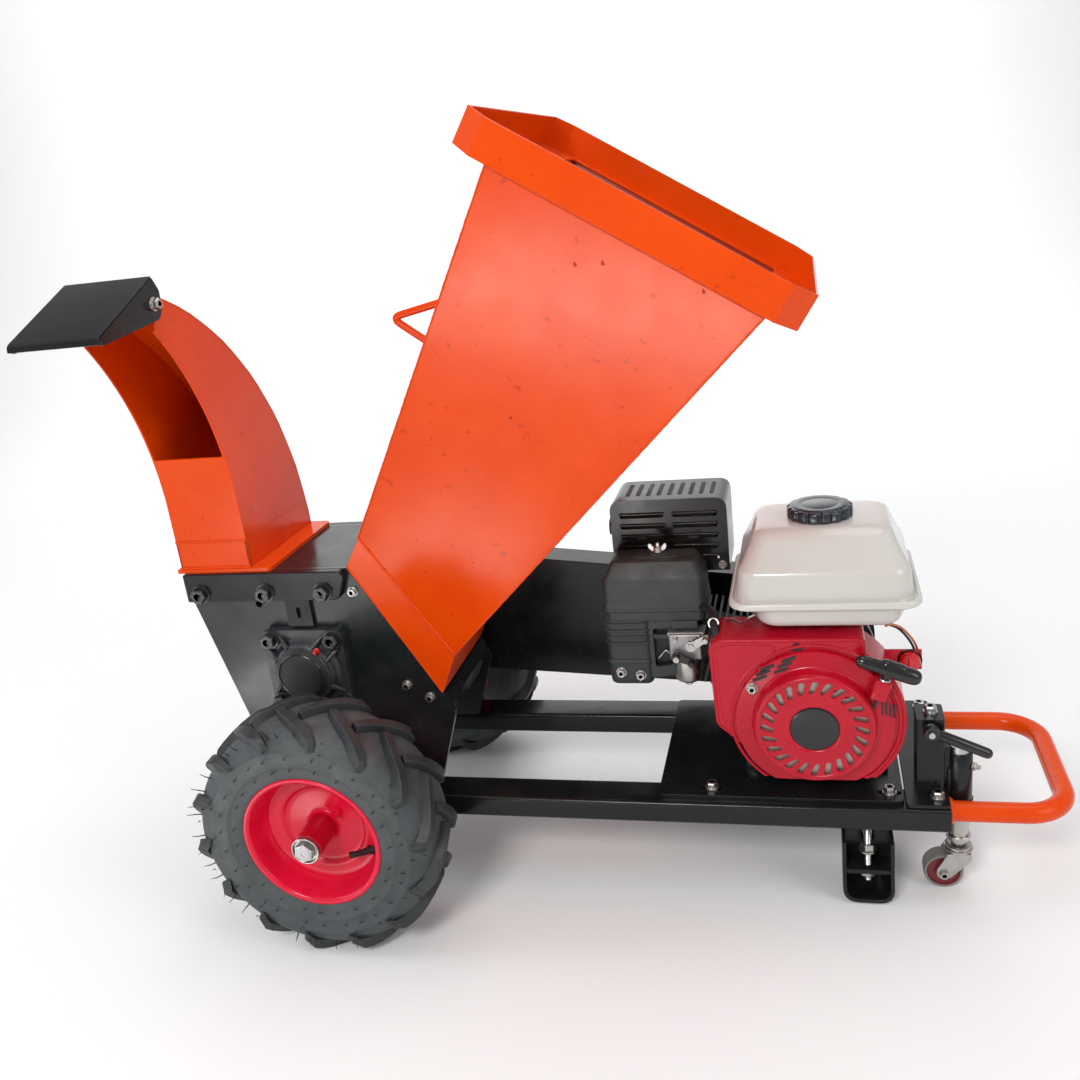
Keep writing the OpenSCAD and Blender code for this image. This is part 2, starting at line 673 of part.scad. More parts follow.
// Starter cover: stepped dish with a ring of slanted slots and a boss that guides the rope
module recoil_cover() color("crimson") translate([crank_x, 0, crank_z]) difference() {
    union() {
        rotate([90, 0, 0]) rotate_extrude() polygon([[0, 139], [60, 139], [66, 136], [66, 123], [90, 121],
            [90, 118], [93, 118], [93, 124], [70, 126.5], [70, 138], [64, 142], [30, 142], [28.5, 140.5], [0, 140.5]]);
        rotate([0, rope_angle, 0]) translate([rope_r - 9, -142, 60]) cube([18, 24, 24]);
    }
    translate([-100, -150, -100]) cube([200, 40, 21]);
    plate_y(-150, 20) for (i = [0 : 23]) rotate(i * 15) translate([54.5, 0]) rotate(24) round_slot(17, 6);
    rotate([0, rope_angle, 0]) translate([rope_r, rope_y, 0]) rod_z(6, 30, 90);
    for (a = [-5 : 2]) rotate([0, a * 7 - 138, 0]) translate([77, -130, -1.6]) cube([11, 20, 3.2]);
    for (a = [-2 : 2]) rotate([0, a * 7, 0]) translate([77, -130, -1.6]) cube([11, 20, 3.2]);
}

module round_slot(l, w) {
    square([l - w, w], center = true);
    for (s = [-1, 1]) translate([s * (l - w) / 2, 0]) circle(d = w, $fn = 24);
}

// Pull grip: a cross bar with a stem, on the length of rope that shows and runs inside the guide
module recoil_grip() color("black") translate([crank_x, 0, crank_z]) rotate([0, rope_angle, 0])
    translate([rope_r, rope_y, 0]) {
        rod_z(4, 14, 92);
        rod_z(12, 86, 96);
        translate([0, 0, 98]) rod_x(17, -30, 30);
        for (s = [-1, 1]) translate([s * 30, 0, 98]) sphere(d = 17);
    }

module tank_slab(x0, x1, y0, y1, z, h, r) translate([(x0 + x1) / 2, (y0 + y1) / 2, z])
    linear_extrude(h) round_rect(x1 - x0, y1 - y0, r);

module fuel_tank() color("white") difference() {
    union() {
        tank_slab(172, 392, -115, 75, 393, 8, 24);
        tank_slab(202, 372, -108, 66, tank_z, 26, 20);
        hull() {
            tank_slab(179, 385, -109, 69, 400, 2, 30);
            tank_slab(188, 376, -102, 62, 458, 2, 30);
            tank_slab(204, 360, -84, 46, 477, 2, 30);
        }
    }
    tank_slab(211, 365, -103, 61, tank_z + 2, 40, 18);
    tank_slab(193, 371, -97, 57, 403, 55, 26);
    translate([281, -18, 0]) rod_z(50, 440, 490);
}

module tank_cap() color("black") translate([281, -18, 479.3]) {
    linear_extrude(13) difference() {
        circle(39);
        for (i = [0 : 23]) rotate(i * 15) translate([40.5, 0]) circle(3, $fn = 24);
    }
    translate([0, 0, 13]) cylinder(d = 64, h = 1.5);
}

module air_cleaner_base() color("dimgray") difference() {
    union() {
        tank_slab(6, 136, -33, 34, 346, 14, 12);
        translate([4, -30, 253]) cube([58, 60, 93]);
        for (z = [314 : 8 : 338]) translate([2, -32, z]) cube([62, 64, 4]);
        translate([92, -33, 332]) cube([34, 26, 14]);
    }
    translate([stud_x, 0, 0]) rod_z(6, 240, 380);
}

module air_cleaner_cover() color("dimgray") difference() {
    union() {
        tank_slab(4, 138, -35, 36, 360, 48, 10);
        hull() {
            tank_slab(4, 138, -35, 36, 407, 1, 10);
            tank_slab(16, 126, -22, 24, 426, 1, 8);
        }
        translate([stud_x, 0, 0]) rod_z(30, 426, 430);
    }
    tank_slab(8, 134, -31, 32, 359, 46, 8);
    translate([stud_x, 0, 0]) rod_z(6, 350, 440);
}

module wing_nut() color("silver") translate([stud_x, 0, 0]) difference() {
    union() {
        rod_z(12, 430.3, 438);
        for (s = [-1, 1]) translate([s * 9 - 5, -1.5, 434]) cube([10, 3, 9]);
    }
    rod_z(6.2, 430, 440);
}

module carburettor() color("gray") {
    translate([88, -44, 296]) cube([42, 32, 36]);
    translate([109, -29, 0]) rod_z(34, 262, 298);
    translate([stud_x, 0, 0]) rod_z(6, 346, 440);
    for (q = [throttle_pin, choke_pin]) translate([q[0], 0, q[1]]) rod_y(8, -62, -42);
}

module lever(x, z, y0, len, a) translate([x, 0, z]) difference() {
    union() {
        rod_y(14, y0, y0 + 4);
        rotate([0, -a, 0]) translate([0, y0, -4]) cube([len, 4, 8]);
        rotate([0, -a, 0]) translate([len, 0, 0]) rod_y(8, y0 - 8, y0 + 4);
    }
    rod_y(8 + 2 * fit, y0 - 5, y0 + 8);
}

module throttle_lever() color("black") lever(throttle_pin[0], throttle_pin[1], -59.5, 22, 30);

module choke_lever() color("black") lever(choke_pin[0], choke_pin[1], -53.5, 20, -20);

module muffler() color("dimgray") difference() {
    union() {
        translate([24, 46, 398]) cube([124, 70, 78]);
        translate([96, 84, 280]) cube([28, 26, 119]);
        translate([0, 80, 440]) rod_x(22, 2, 26);
        for (x = [50, 120]) translate([x, 0, 432]) rod_y(14, 40.5, 48);
    }
    translate([26, 48, 400]) cube([120, 66, 74]);
    translate([0, 80, 440]) rod_x(16, 0, 40);
}

module muffler_guard() color("black") difference() {
    translate([11, 38, 388]) cube([154, 90, 101]);
    translate([13.5, 40.5, 380]) cube([149, 85, 106.5]);
    for (z = [410, 425, 440, 455, 470], x = [24, 94]) translate([x, 30, z]) cube([58, 16, 5]);
    for (x = [30 : 14 : 142]) translate([x, 60, 480]) cube([6, 50, 16]);
    translate([0, 80, 440]) rod_x(30, 5, 18);
}

module engine_switch() color("red") translate([crank_x + 114, -58.3, crank_z + 50]) {
    rod_y(24, -12, 0);
    translate([-3, -18, -10]) cube([6, 8, 20]);
}

module frame_bolts() color("silver") {
    for (x = [138, 353], y = [-107, 107]) translate([x, y, deck_z]) bolt(8, plate_z);
    for (y = [-112, 112]) translate([408, y, rail_top + end_plate_t]) bolt(8, end_plate_t);
    translate([402, -83, rail_top + end_plate_t + post_h]) bolt(8, 4);
    for (x = engine_bolt_x, y = [-38, 64]) translate([x, y, deck_z + base_t]) bolt(8, base_t);
}

rail_near();
rail_far();
cross_member();
engine_plate();
end_plate();
tow_loop();
jockey_bracket();
jockey_post();
jockey_lever();
caster_fork();
caster_wheel();
stand_stud();
stand_foot();
axle_beam();
tyre_near();
tyre_far();
rim_near();
rim_far();
axle_nuts();
side_plate_near();
side_plate_far();
chamber_shell();
top_bars();
anvil();
rotor_drum();
rotor_knives();
rotor_shaft();
bearing_units();
chamber_bolts();
rotor_pulley();
engine_pulley();
drive_belts();
belt_guard();
hopper_neck();
hopper_funnel();
hopper_rim();
hopper_handle();
chute_collar();
chute();
deflector();
deflector_pins();
crankcase();
engine_barrel();
crankshaft();
flywheel();
fan_shroud();
recoil_cover();
recoil_grip();
fuel_tank();
tank_cap();
air_cleaner_base();
air_cleaner_cover();
wing_nut();
carburettor();
throttle_lever();
choke_lever();
muffler();
muffler_guard();
engine_switch();
frame_bolts();
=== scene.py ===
import bpy, bmesh, math, random
from mathutils import Vector, Matrix
from mathutils.geometry import tessellate_polygon


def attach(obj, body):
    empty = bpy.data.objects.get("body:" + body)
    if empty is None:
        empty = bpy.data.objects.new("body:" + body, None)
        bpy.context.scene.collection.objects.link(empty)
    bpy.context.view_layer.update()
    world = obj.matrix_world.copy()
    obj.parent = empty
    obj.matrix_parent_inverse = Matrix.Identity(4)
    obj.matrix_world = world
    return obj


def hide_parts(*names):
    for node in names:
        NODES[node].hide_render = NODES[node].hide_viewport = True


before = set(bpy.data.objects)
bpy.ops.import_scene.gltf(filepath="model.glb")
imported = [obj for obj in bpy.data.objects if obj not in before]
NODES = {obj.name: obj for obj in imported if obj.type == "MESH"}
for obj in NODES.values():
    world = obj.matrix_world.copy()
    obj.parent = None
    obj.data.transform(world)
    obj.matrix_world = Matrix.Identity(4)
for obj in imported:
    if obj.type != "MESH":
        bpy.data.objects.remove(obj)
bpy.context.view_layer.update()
random.seed(7)
MM = 0.001


def cosd(a):
    return math.cos(math.radians(a))


def sind(a):
    return math.sin(math.radians(a))


# ---------------------------------------------------------------- materials


def material(name, col, col2=None, rough=0.35, rough2=None, metal=0.0, coat=0.0, coat_rough=0.08, spec=0.5,
             scale=9.0, detail=5.0, grain=350.0, bump=0.05, dist=0.0004, dust=None, dust_amt=0.0, chips=None,
             chip_amt=0.0, stretch=(1, 1, 1), waves=0.0):
    """Painted or metal surface: two tones, roughness, grain, dust on upward faces, chips and gentle waves."""
    m = bpy.data.materials.new(name)
    m.use_nodes = True
    nt = m.node_tree
    N, L = nt.nodes, nt.links
    p = N["Principled BSDF"]
    p.inputs["Metallic"].default_value = metal
    p.inputs["Coat Weight"].default_value = coat
    p.inputs["Coat Roughness"].default_value = coat_rough
    p.inputs["Specular IOR Level"].default_value = spec
    tc = N.new("ShaderNodeTexCoord")
    mp = N.new("ShaderNodeMapping")
    mp.inputs["Scale"].default_value = stretch
    L.new(tc.outputs["Object"], mp.inputs["Vector"])

    def nz(sc, det, rgh=0.55):
        n = N.new("ShaderNodeTexNoise")
        n.inputs["Scale"].default_value = sc
        n.inputs["Detail"].default_value = det
        n.inputs["Roughness"].default_value = rgh
        L.new(mp.outputs["Vector"], n.inputs["Vector"])
        return n.outputs["Fac"]

    def ramp(src, a, b, lo=0.0, hi=1.0):
        r = N.new("ShaderNodeMapRange")
        r.inputs["From Min"].default_value = a
        r.inputs["From Max"].default_value = b
        r.inputs["To Min"].default_value = lo
        r.inputs["To Max"].default_value = hi
        L.new(src, r.inputs["Value"])
        return r.outputs["Result"]

    def mix(fac, a, b):
        x = N.new("ShaderNodeMix")
        x.data_type = "RGBA"
        L.new(fac, x.inputs[0])
        for sock, v in ((x.inputs[6], a), (x.inputs[7], b)):
            if hasattr(v, "links"):
                L.new(v, sock)
            else:
                sock.default_value = (*v, 1)
        return x.outputs[2]

    def mul(a, b):
        x = N.new("ShaderNodeMath")
        x.operation = "MULTIPLY"
        L.new(a, x.inputs[0])
        if hasattr(b, "links"):
            L.new(b, x.inputs[1])
        else:
            x.inputs[1].default_value = b
        return x.outputs[0]

    big = nz(scale, detail)
    colour = mix(ramp(big, 0.3, 0.7), col, col2 or tuple(c * 0.82 for c in col))
    rr = ramp(nz(scale * 3.1, 4), 0.3, 0.7, rough, rough2 if rough2 is not None else rough * 1.35)
    if dust:
        g = N.new("ShaderNodeNewGeometry")
        s = N.new("ShaderNodeSeparateXYZ")
        L.new(g.outputs["Normal"], s.inputs[0])
        up = ramp(s.outputs["Z"], -0.2, 1.0, 0.25, 1.0)
        f = mul(mul(ramp(nz(scale * 2.3, 8, 0.7), 0.42, 0.72), up), dust_amt)
        colour = mix(f, colour, dust)
    if chips:
        f = mul(ramp(nz(scale * 11, 3, 0.4), 0.69, 0.72), chip_amt)
        colour = mix(f, colour, chips)
    L.new(colour, p.inputs["Base Color"])
    L.new(rr, p.inputs["Roughness"])
    b1 = N.new("ShaderNodeBump")
    b1.inputs["Strength"].default_value = bump
    b1.inputs["Distance"].default_value = dist
    L.new(nz(grain, 3), b1.inputs["Height"])
    if waves:
        b2 = N.new("ShaderNodeBump")
        b2.inputs["Strength"].default_value = 1.0
        b2.inputs["Distance"].default_value = waves
        L.new(nz(5.5, 1.5, 0.4), b2.inputs["Height"])
        L.new(b2.outputs["Normal"], b1.inputs["Normal"])
    L.new(b1.outputs["Normal"], p.inputs["Normal"])
    return m


M = {"orange": material("orange_paint", (0.78, 0.070, 0.0010), (0.70, 0.053, 0.0006), 0.15, 0.23, coat=0.0,
                        coat_rough=0.12, spec=0.20, grain=260, bump=0.12, dist=0.0003,
                        dust=(0.80, 0.20, 0.06), dust_amt=0.08, waves=0.0020, chips=(0.42, 0.03, 0.003),
                        # The inside orange is the outside paint made darker: that darkness is painted shade
                        # inside the hopper. Its dust mask is dust.
                        chip_amt=0.5), "orange_in": material("orange_painted_shade_inside", (0.46, 0.028, 0.001),
                                                             (0.34, 0.016, 0.001), 0.28, 0.4, spec=0.3,
                                                             grain=260, bump=0.1, dust=(0.35, 0.10, 0.06),
                                                             dust_amt=0.35, waves=0.001),
     "black": material("black_paint", (0.009, 0.010, 0.011), (0.005, 0.006, 0.007), 0.15, 0.28, spec=0.34,
                       grain=300, bump=0.08, dist=0.0003, dust=(0.06, 0.066, 0.07), dust_amt=0.10,
                       waves=0.0016), "plate": material("chamber_paint", (0.011, 0.014, 0.015),
                                                        (0.007, 0.009, 0.010), 0.18, 0.30, coat=0.15,
                                                        grain=220, bump=0.12, dist=0.0003,
                                                        dust=(0.12, 0.135, 0.14), dust_amt=0.18,
                                                        waves=0.0022),
     "crimson": material("crimson_paint", (0.50, 0.003, 0.020), (0.40, 0.002, 0.014), 0.18, 0.30, spec=0.34,
                         grain=420, bump=0.08, dist=0.0002, dust=(0.5, 0.06, 0.08), dust_amt=0.06,
                         waves=0.0008), "rim": material("rim_paint", (0.74, 0.004, 0.040),
                                                        (0.62, 0.003, 0.030), 0.17, 0.28, spec=0.34,
                                                        grain=300, bump=0.09, dist=0.0003,
                                                        dust=(0.7, 0.10, 0.14), dust_amt=0.12,
                                                        waves=0.0008),
     "zinc": material("zinc_plate", (0.56, 0.56, 0.54), (0.42, 0.41, 0.38), 0.24, 0.40, metal=1.0, scale=40,
                      grain=900, bump=0.15, dist=0.0001), "steel": material("ground_steel",
        (0.46, 0.46, 0.47), (0.34, 0.34, 0.35), 0.28, 0.42, metal=1.0, scale=18, grain=600, bump=0.1,
        dist=0.0001, stretch=(1, 6, 1)), "dark_bolt": material("black_oxide", (0.10, 0.105, 0.11),
                                                               (0.05, 0.052, 0.055), 0.30, 0.5, metal=0.9,
                                                               scale=60, grain=900, bump=0.2, dist=0.0001),
     "cast": material("cast_iron_paint", (0.022, 0.025, 0.029), (0.012, 0.014, 0.017), 0.34, 0.52, scale=24,
                      grain=420, bump=0.55, dist=0.0006, dust=(0.12, 0.13, 0.14), dust_amt=0.35, coat=0.2),
     "alu": material("cast_aluminium", (0.42, 0.42, 0.43), (0.30, 0.30, 0.31), 0.40, 0.58, metal=0.85,
                     scale=22, grain=500, bump=0.5, dist=0.0005), "tyre": material("tyre_rubber",
        (0.022, 0.026, 0.029), (0.012, 0.014, 0.016), 0.46, 0.66, spec=0.5, scale=14, grain=800, bump=0.35,
        dist=0.0003, dust=(0.10, 0.115, 0.125), dust_amt=0.22), "side": material("tyre_sidewall",
        (0.052, 0.062, 0.066), (0.036, 0.044, 0.047), 0.52, 0.7, scale=11, grain=700, bump=0.3, dist=0.0003,
        dust=(0.15, 0.165, 0.17), dust_amt=0.45), "rubber": material("rubber_black", (0.012, 0.012, 0.013),
        (0.008, 0.008, 0.009), 0.5, 0.65, grain=900, bump=0.2, dist=0.0002),
     "plastic": material("dark_plastic", (0.030, 0.036, 0.037), (0.022, 0.027, 0.028), 0.46, 0.60, scale=12,
                         grain=1300, bump=0.5, dist=0.0002, dust=(0.10, 0.11, 0.11), dust_amt=0.30),
     "gloss_black": material("gloss_black", (0.008, 0.008, 0.009), (0.005, 0.005, 0.006), 0.14, 0.24,
                             coat=0.15, grain=500, bump=0.05, dist=0.0002, dust=(0.08, 0.08, 0.085),
                             dust_amt=0.12), "white": material("white_paint", (0.60, 0.59, 0.555),
                                                               (0.55, 0.54, 0.50), 0.16, 0.26, coat=0.4,
                                                               scale=7, grain=350, bump=0.06, dist=0.0002,
                                                               dust=(0.55, 0.50, 0.44), dust_amt=0.12),
     "cap": material("cap_black", (0.012, 0.020, 0.030), (0.006, 0.010, 0.016), 0.20, 0.32, coat=0.3,
                     grain=700, bump=0.12, dist=0.0002, dust=(0.09, 0.10, 0.11), dust_amt=0.2),
     "dark_alu": material("barrel_alloy", (0.085, 0.085, 0.088), (0.05, 0.05, 0.052), 0.45, 0.6, metal=0.6,
                          scale=22, grain=500, bump=0.5, dist=0.0005),
     "screen": material("starter_screen", (0.50, 0.47, 0.43), (0.36, 0.34, 0.31), 0.38, 0.5, metal=0.7,
                        scale=30, grain=900, bump=0.4, dist=0.0003),
     "muffler": material("heat_steel", (0.16, 0.14, 0.12), (0.08, 0.07, 0.065), 0.45, 0.6, metal=0.8,
                         scale=26, grain=500, bump=0.3, dist=0.0003),
     "guard": material("guard_paint", (0.010, 0.009, 0.009), (0.006, 0.006, 0.006), 0.15, 0.26, spec=0.34,
                       grain=500, bump=0.08, dist=0.0002, dust=(0.06, 0.045, 0.042), dust_amt=0.12),
     "caster": material("caster_plastic", (0.18, 0.010, 0.018), (0.13, 0.008, 0.012), 0.3, 0.42, grain=600,
                        bump=0.15, dist=0.0002, dust=(0.25, 0.2, 0.2), dust_amt=0.4),
     "tread": material("caster_tread", (0.24, 0.24, 0.23), (0.16, 0.16, 0.155), 0.5, 0.6, grain=600,
                       bump=0.2, dust=(0.1, 0.09, 0.08), dust_amt=0.5),
     "copper": material("copper_lead", (0.72, 0.30, 0.16), (0.6, 0.22, 0.10), 0.25, 0.4, metal=1.0,
                        grain=900), "red_plastic": material("red_plastic", (0.62, 0.008, 0.012),
                                                            (0.5, 0.006, 0.008), 0.28, 0.4, coat=0.3,
                                                            grain=600, bump=0.1),
     "rope": material("rope_fibre", (0.05, 0.05, 0.05), (0.02, 0.02, 0.02), 0.7, 0.85, grain=1500, bump=0.8,
                      dist=0.0003, stretch=(1, 1, 3)),}

# ---------------------------------------------------------------- mesh helpers


def put(name, me, body, mat, replaces=(), bevel=0.0, segs=2, angle=30, smooth=None, matrix=None, slot=None):
    """One piece on a body: materials, shading, edge bevel, and what it stands for in the CAD."""
    o = bpy.data.objects.new(name, me)
    bpy.context.scene.collection.objects.link(o)
    for m in (mat if isinstance(mat, (list, tuple)) else [mat]):
        me.materials.append(M[m])
    if matrix is not None:
        o.matrix_world = matrix
    if smooth is not None:
        me.shade_smooth()
        me.set_sharp_from_angle(angle=math.radians(smooth))
    if bevel:
        b = o.modifiers.new("edge", "BEVEL")
        b.width = bevel
        b.segments = segs
        b.limit_method = "ANGLE"
        b.angle_limit = math.radians(angle)
        b.harden_normals = True
        me.shade_smooth()
    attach(o, body)
    if replaces:
        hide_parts(*([replaces] if isinstance(replaces, str) else replaces))
    return o


def mesh(bm, name, weld=1e-6):
    """Welded mesh with outward normals."""
    if weld:
        bmesh.ops.remove_doubles(bm, verts=bm.verts, dist=weld)
    bmesh.ops.recalc_face_normals(bm, faces=bm.faces)
    me = bpy.data.meshes.new(name)
    bm.to_mesh(me)
    bm.free()
    return me


def circ(a, b, r, n=32, a0=0.0, a1=2 * math.pi, closed=True):
    """Points of a circle or of an arc of it."""
    k = n if closed else n - 1
    return [(a + r * math.cos(a0 + (a1 - a0) * i / k), b + r * math.sin(a0 + (a1 - a0) * i / k))
            for i in range(n)]


def rounded(pts, r, n=5):
    """Rounds each corner of a closed outline; r is one radius or one for each corner."""
    out = []
    k = len(pts)
    rs = r if isinstance(r, (list, tuple)) else [r] * k
    for i, p in enumerate(pts):
        a, b, c = Vector(pts[i - 1]), Vector(p), Vector(pts[(i + 1) % k])
        u, v = (a - b), (c - b)
        if rs[i] <= 0 or u.length < 1e-9 or v.length < 1e-9:
            out.append(tuple(b))
            continue
        ang = u.angle(v)
        t = min(rs[i] / math.tan(ang / 2), u.length * 0.49, v.length * 0.49)
        p0, p1 = b + u.normalized() * t, b + v.normalized() * t
        for j in range(n + 1):
            s = j / n
            q = (1 - s) ** 2 * p0 + 2 * s * (1 - s) * b + s * s * p1
            out.append(tuple(q))
    return out


PLANES = {"xz": lambda a, b, t: (a, t, b), "yz": lambda a, b, t: (t, a, b), "xy": lambda a, b, t: (a, b, t)}


def plate_bm(outline, holes, plane, lo, hi, bm=None, xf=None):
    """Flat plate with holes, between lo and hi across its plane."""
    bm = bm or bmesh.new()
    to = PLANES[plane]
    loops = [outline] + list(holes)
    tris = tessellate_polygon([[Vector((a, b, 0)) for a, b in lp] for lp in loops])
    flat = [p for lp in loops for p in lp]
    rows = []
    for t in (lo, hi):
        rows.append([bm.verts.new(xf @ Vector([c * MM for c in to(a, b, t)]) if xf else
                                  Vector([c * MM for c in to(a, b, t)])) for a, b in flat])
    for row in rows:
        for t in tris:
            try:
                bm.faces.new([row[i] for i in t])
            except ValueError:
                pass
    off = 0
    for lp in loops:
        k = len(lp)
        for i in range(k):
            j = (i + 1) % k
            bm.faces.new([rows[0][off + i], rows[0][off + j], rows[1][off + j], rows[1][off + i]])
        off += k
    bmesh.ops.recalc_face_normals(bm, faces=bm.faces)
    # A face with a hole can't be one polygon, so only whole plates are merged
    if not holes:
        bmesh.ops.dissolve_limit(bm, angle_limit=math.radians(0.5), verts=bm.verts, edges=bm.edges)
    return bm


def plate(name, outline, holes, plane, lo, hi, body, mat, bevel=0.8, **k):
    bm = plate_bm(outline, holes, plane, lo, hi)
    return put(name, mesh(bm, name), body, mat, bevel=bevel * MM, segs=k.pop("segs", 2), **k)


def box_bm(lo, hi, bm=None, xf=None):
    """Plain block, rounded later by its bevel."""
    bm = bm or bmesh.new()
    vs = [bm.verts.new((Vector((x, y, z)) * MM) if xf is None else xf @ (Vector((x, y, z)) * MM))
          for x in (lo[0], hi[0]) for y in (lo[1], hi[1]) for z in (lo[2], hi[2])]
    for f in ((0, 1, 3, 2), (4, 6, 7, 5), (0, 4, 5, 1), (2, 3, 7, 6), (0, 2, 6, 4), (1, 5, 7, 3)):
        bm.faces.new([vs[i] for i in f])
    return bm


def box(name, lo, hi, body, mat, bevel=1.0, segs=3, **k):
    return put(name, mesh(box_bm(lo, hi), name), body, mat, bevel=bevel * MM, segs=segs, **k)


def lathe_bm(profile, centre, axis="Z", n=64, bm=None, closed=True):
    """Profile points are (radius, distance along the axis); the axis runs along +X, +Y or +Z."""
    bm = bm or bmesh.new()
    base = Matrix.Translation(Vector(centre) * MM) @ {"X": Matrix.Rotation(math.pi / 2, 4, "Y"),
                                                       "Y": Matrix.Rotation(-math.pi / 2, 4, "X"),
                                                       "Z": Matrix.Identity(4)}[axis]
    rings = []
    for r, h in profile:
        if r < 1e-6:
            rings.append([bm.verts.new(base @ Vector((0, 0, h * MM)))] * n)
        else:
            rings.append([bm.verts.new(base @ Vector((r * MM * math.cos(2 * math.pi * i / n),
                                                      r * MM * math.sin(2 * math.pi * i / n), h * MM)))
                          for i in range(n)])
    k = len(profile)
    for i in range(k if closed else k - 1):
        p, q = rings[i], rings[(i + 1) % k]
        for j in range(n):
            l = (j + 1) % n
            f = []
            for v in (p[j], p[l], q[l], q[j]):
                if v not in f:
                    f.append(v)
            if len(f) > 2:
                bm.faces.new(f)
    return bm


def lathe(name, profile, centre, axis, body, mat, n=64, smooth=38, closed=True, **k):
    return put(name, mesh(lathe_bm(profile, centre, axis, n, closed=closed), name), body, mat,
               smooth=smooth, **k)


def spline(pts, per=8, cyclic=False):
    """Smooth curve through the points."""
    P = [Vector(p) for p in pts]
    out = []
    k = len(P)
    for i in range(k if cyclic else k - 1):
        a, b, c, d = (P[(i + j) % k] if cyclic else P[min(max(i + j, 0), k - 1)] for j in (-1, 0, 1, 2))
        for s in range(per):
            t = s / per
            out.append(0.5 * ((2 * b) + (c - a) * t + (2 * a - 5 * b + 4 * c - d) * t * t +
                              (3 * b - a - 3 * c + d) * t ** 3))
    if not cyclic:
        out.append(P[-1])
    return out


def sweep_bm(path, r, n=16, cyclic=False, bm=None, cap=True):
    """Round rod along a path, with one radius or one for each point."""
    bm = bm or bmesh.new()
    P = [Vector(p) * MM for p in path]
    k = len(P)
    rs = r if isinstance(r, (list, tuple)) else [r] * k
    t0 = (P[1] - P[0]).normalized()
    up = Vector((0, 0, 1)) if abs(t0.z) < 0.9 else Vector((0, 1, 0))
    u = t0.cross(up).normalized()
    rings = []
    for i in range(k):
        if cyclic:
            t = (P[(i + 1) % k] - P[i - 1]).normalized()
        else:
            t = (P[min(i + 1, k - 1)] - P[max(i - 1, 0)]).normalized()
        u = (u - t * u.dot(t)).normalized()
        v = t.cross(u)
        rings.append([bm.verts.new(P[i] + (u * math.cos(2 * math.pi * j / n)
                                           + v * math.sin(2 * math.pi * j / n)) * rs[i] * MM)
                      for j in range(n)])
    for i in range(k if cyclic else k - 1):
        p, q = rings[i], rings[(i + 1) % k]
        for j in range(n):
            bm.faces.new((p[j], p[(j + 1) % n], q[(j + 1) % n], q[j]))
    if cap and not cyclic:
        bm.faces.new(rings[0][::-1])
        bm.faces.new(rings[-1])
    return bm


def tube(name, path, r, body, mat, n=16, cyclic=False, **k):
    return put(name, mesh(sweep_bm(path, r, n, cyclic), name, 0), body, mat, smooth=50, **k)


def rr(cx, cy, w, d, r, z, n=6):
    """One ring of a rounded rectangle in the XY plane."""
    out = []
    for sx, sy, a in ((1, 1, 0), (-1, 1, 90), (-1, -1, 180), (1, -1, 270)):
        for i in range(n + 1):
            t = math.radians(a + 90 * i / n)
            out.append(Vector((cx + sx * (w / 2 - r) + r * math.cos(t), cy + sy * (d / 2 - r)
                               + r * math.sin(t), z)))
    return out


def loft_bm(rings, cap0=True, cap1=True, bm=None, closed=False):
    """Skin over rings with the same number of points."""
    bm = bm or bmesh.new()
    R = [[bm.verts.new(Vector(p) * MM) for p in ring] for ring in rings]
    k = len(R)
    for i in range(k if closed else k - 1):
        p, q = R[i], R[(i + 1) % k]
        m = len(p)
        for j in range(m):
            bm.faces.new((p[j], p[(j + 1) % m], q[(j + 1) % m], q[j]))
    if cap0 and not closed:
        bm.faces.new(R[0][::-1])
    if cap1 and not closed:
        bm.faces.new(R[-1])
    return bm


def loft(name, rings, body, mat, smooth=30, **k):
    c0, c1, cl = k.pop("cap0", True), k.pop("cap1", True), k.pop("closed", False)
    return put(name, mesh(loft_bm(rings, c0, c1, closed=cl), name), body, mat, smooth=smooth, **k)


_bolts = {}


def bolt_mesh(d, washer, kind):
    """Unit mesh in metres, seated at z = 0 with the head towards +Z."""
    key = (d, washer, kind)
    if key in _bolts:
        return _bolts[key]
    bm = bmesh.new()
    t = 0.0
    if washer:
        t = 0.0018 if d > 7 else 0.0012
        lathe_bm([(0, 0), (d * 1.08, 0), (d * 1.1, 0.3), (d * 1.08, t * 1000), (0, t * 1000)], (0, 0, 0),
                 "Z", 32, bm)
        r = d * 0.82
        for i in range(2):
            z0 = t * 1000 + i * 0.9
            lathe_bm([(0, z0), (r, z0), (r, z0 + 0.9), (0, z0 + 0.9)], (0, 0, 0), "Z", 28, bm)
        t += 0.0016
    z = t * 1000
    af = d * 1.62 / 2 / math.cos(math.pi / 6)
    h = d * 0.68
    rings = [[(af * s * cosd(60 * i + 15), af * s * sind(60 * i + 15), zz)
              for i in range(6)] for s, zz in ((0.97, z), (1.0, z + 0.3), (1.0, z + h * 0.78), (0.88, z + h))]
    if kind == "nut":
        rings = [[(af * s * cosd(60 * i), af * s * sind(60 * i), zz) for i in range(6)] for s,
                 zz in ((0.9, z), (1.0, z + h * 0.15), (1.0, z + h * 1.05), (0.9, z + h * 1.25))]
        h *= 1.25
    loft_bm(rings, bm=bm)
    if kind == "nut":
        prof = [(0, z), (d / 2, z)]
        k = 5
        for i in range(k):
            zz = z + h + i * 1.0
            prof += [(d / 2, zz), (d / 2 - 0.5, zz + 0.5)]
        prof += [(d / 2 - 0.9, z + h + k), (0, z + h + k)]
        lathe_bm(prof, (0, 0, 0), "Z", 20, bm)
    else:
        lathe_bm([(0, z + h), (d * 0.62, z + h), (d * 0.58, z + h + 0.25), (d * 0.4, z + h - 0.05),
                  (0, z + h - 0.05)], (0, 0, 0), "Z", 24, bm)
    me = mesh(bm, "bolt_%s_%g_%d" % (kind, d, washer), 0)
    _bolts[key] = me
    return me


_count = {}


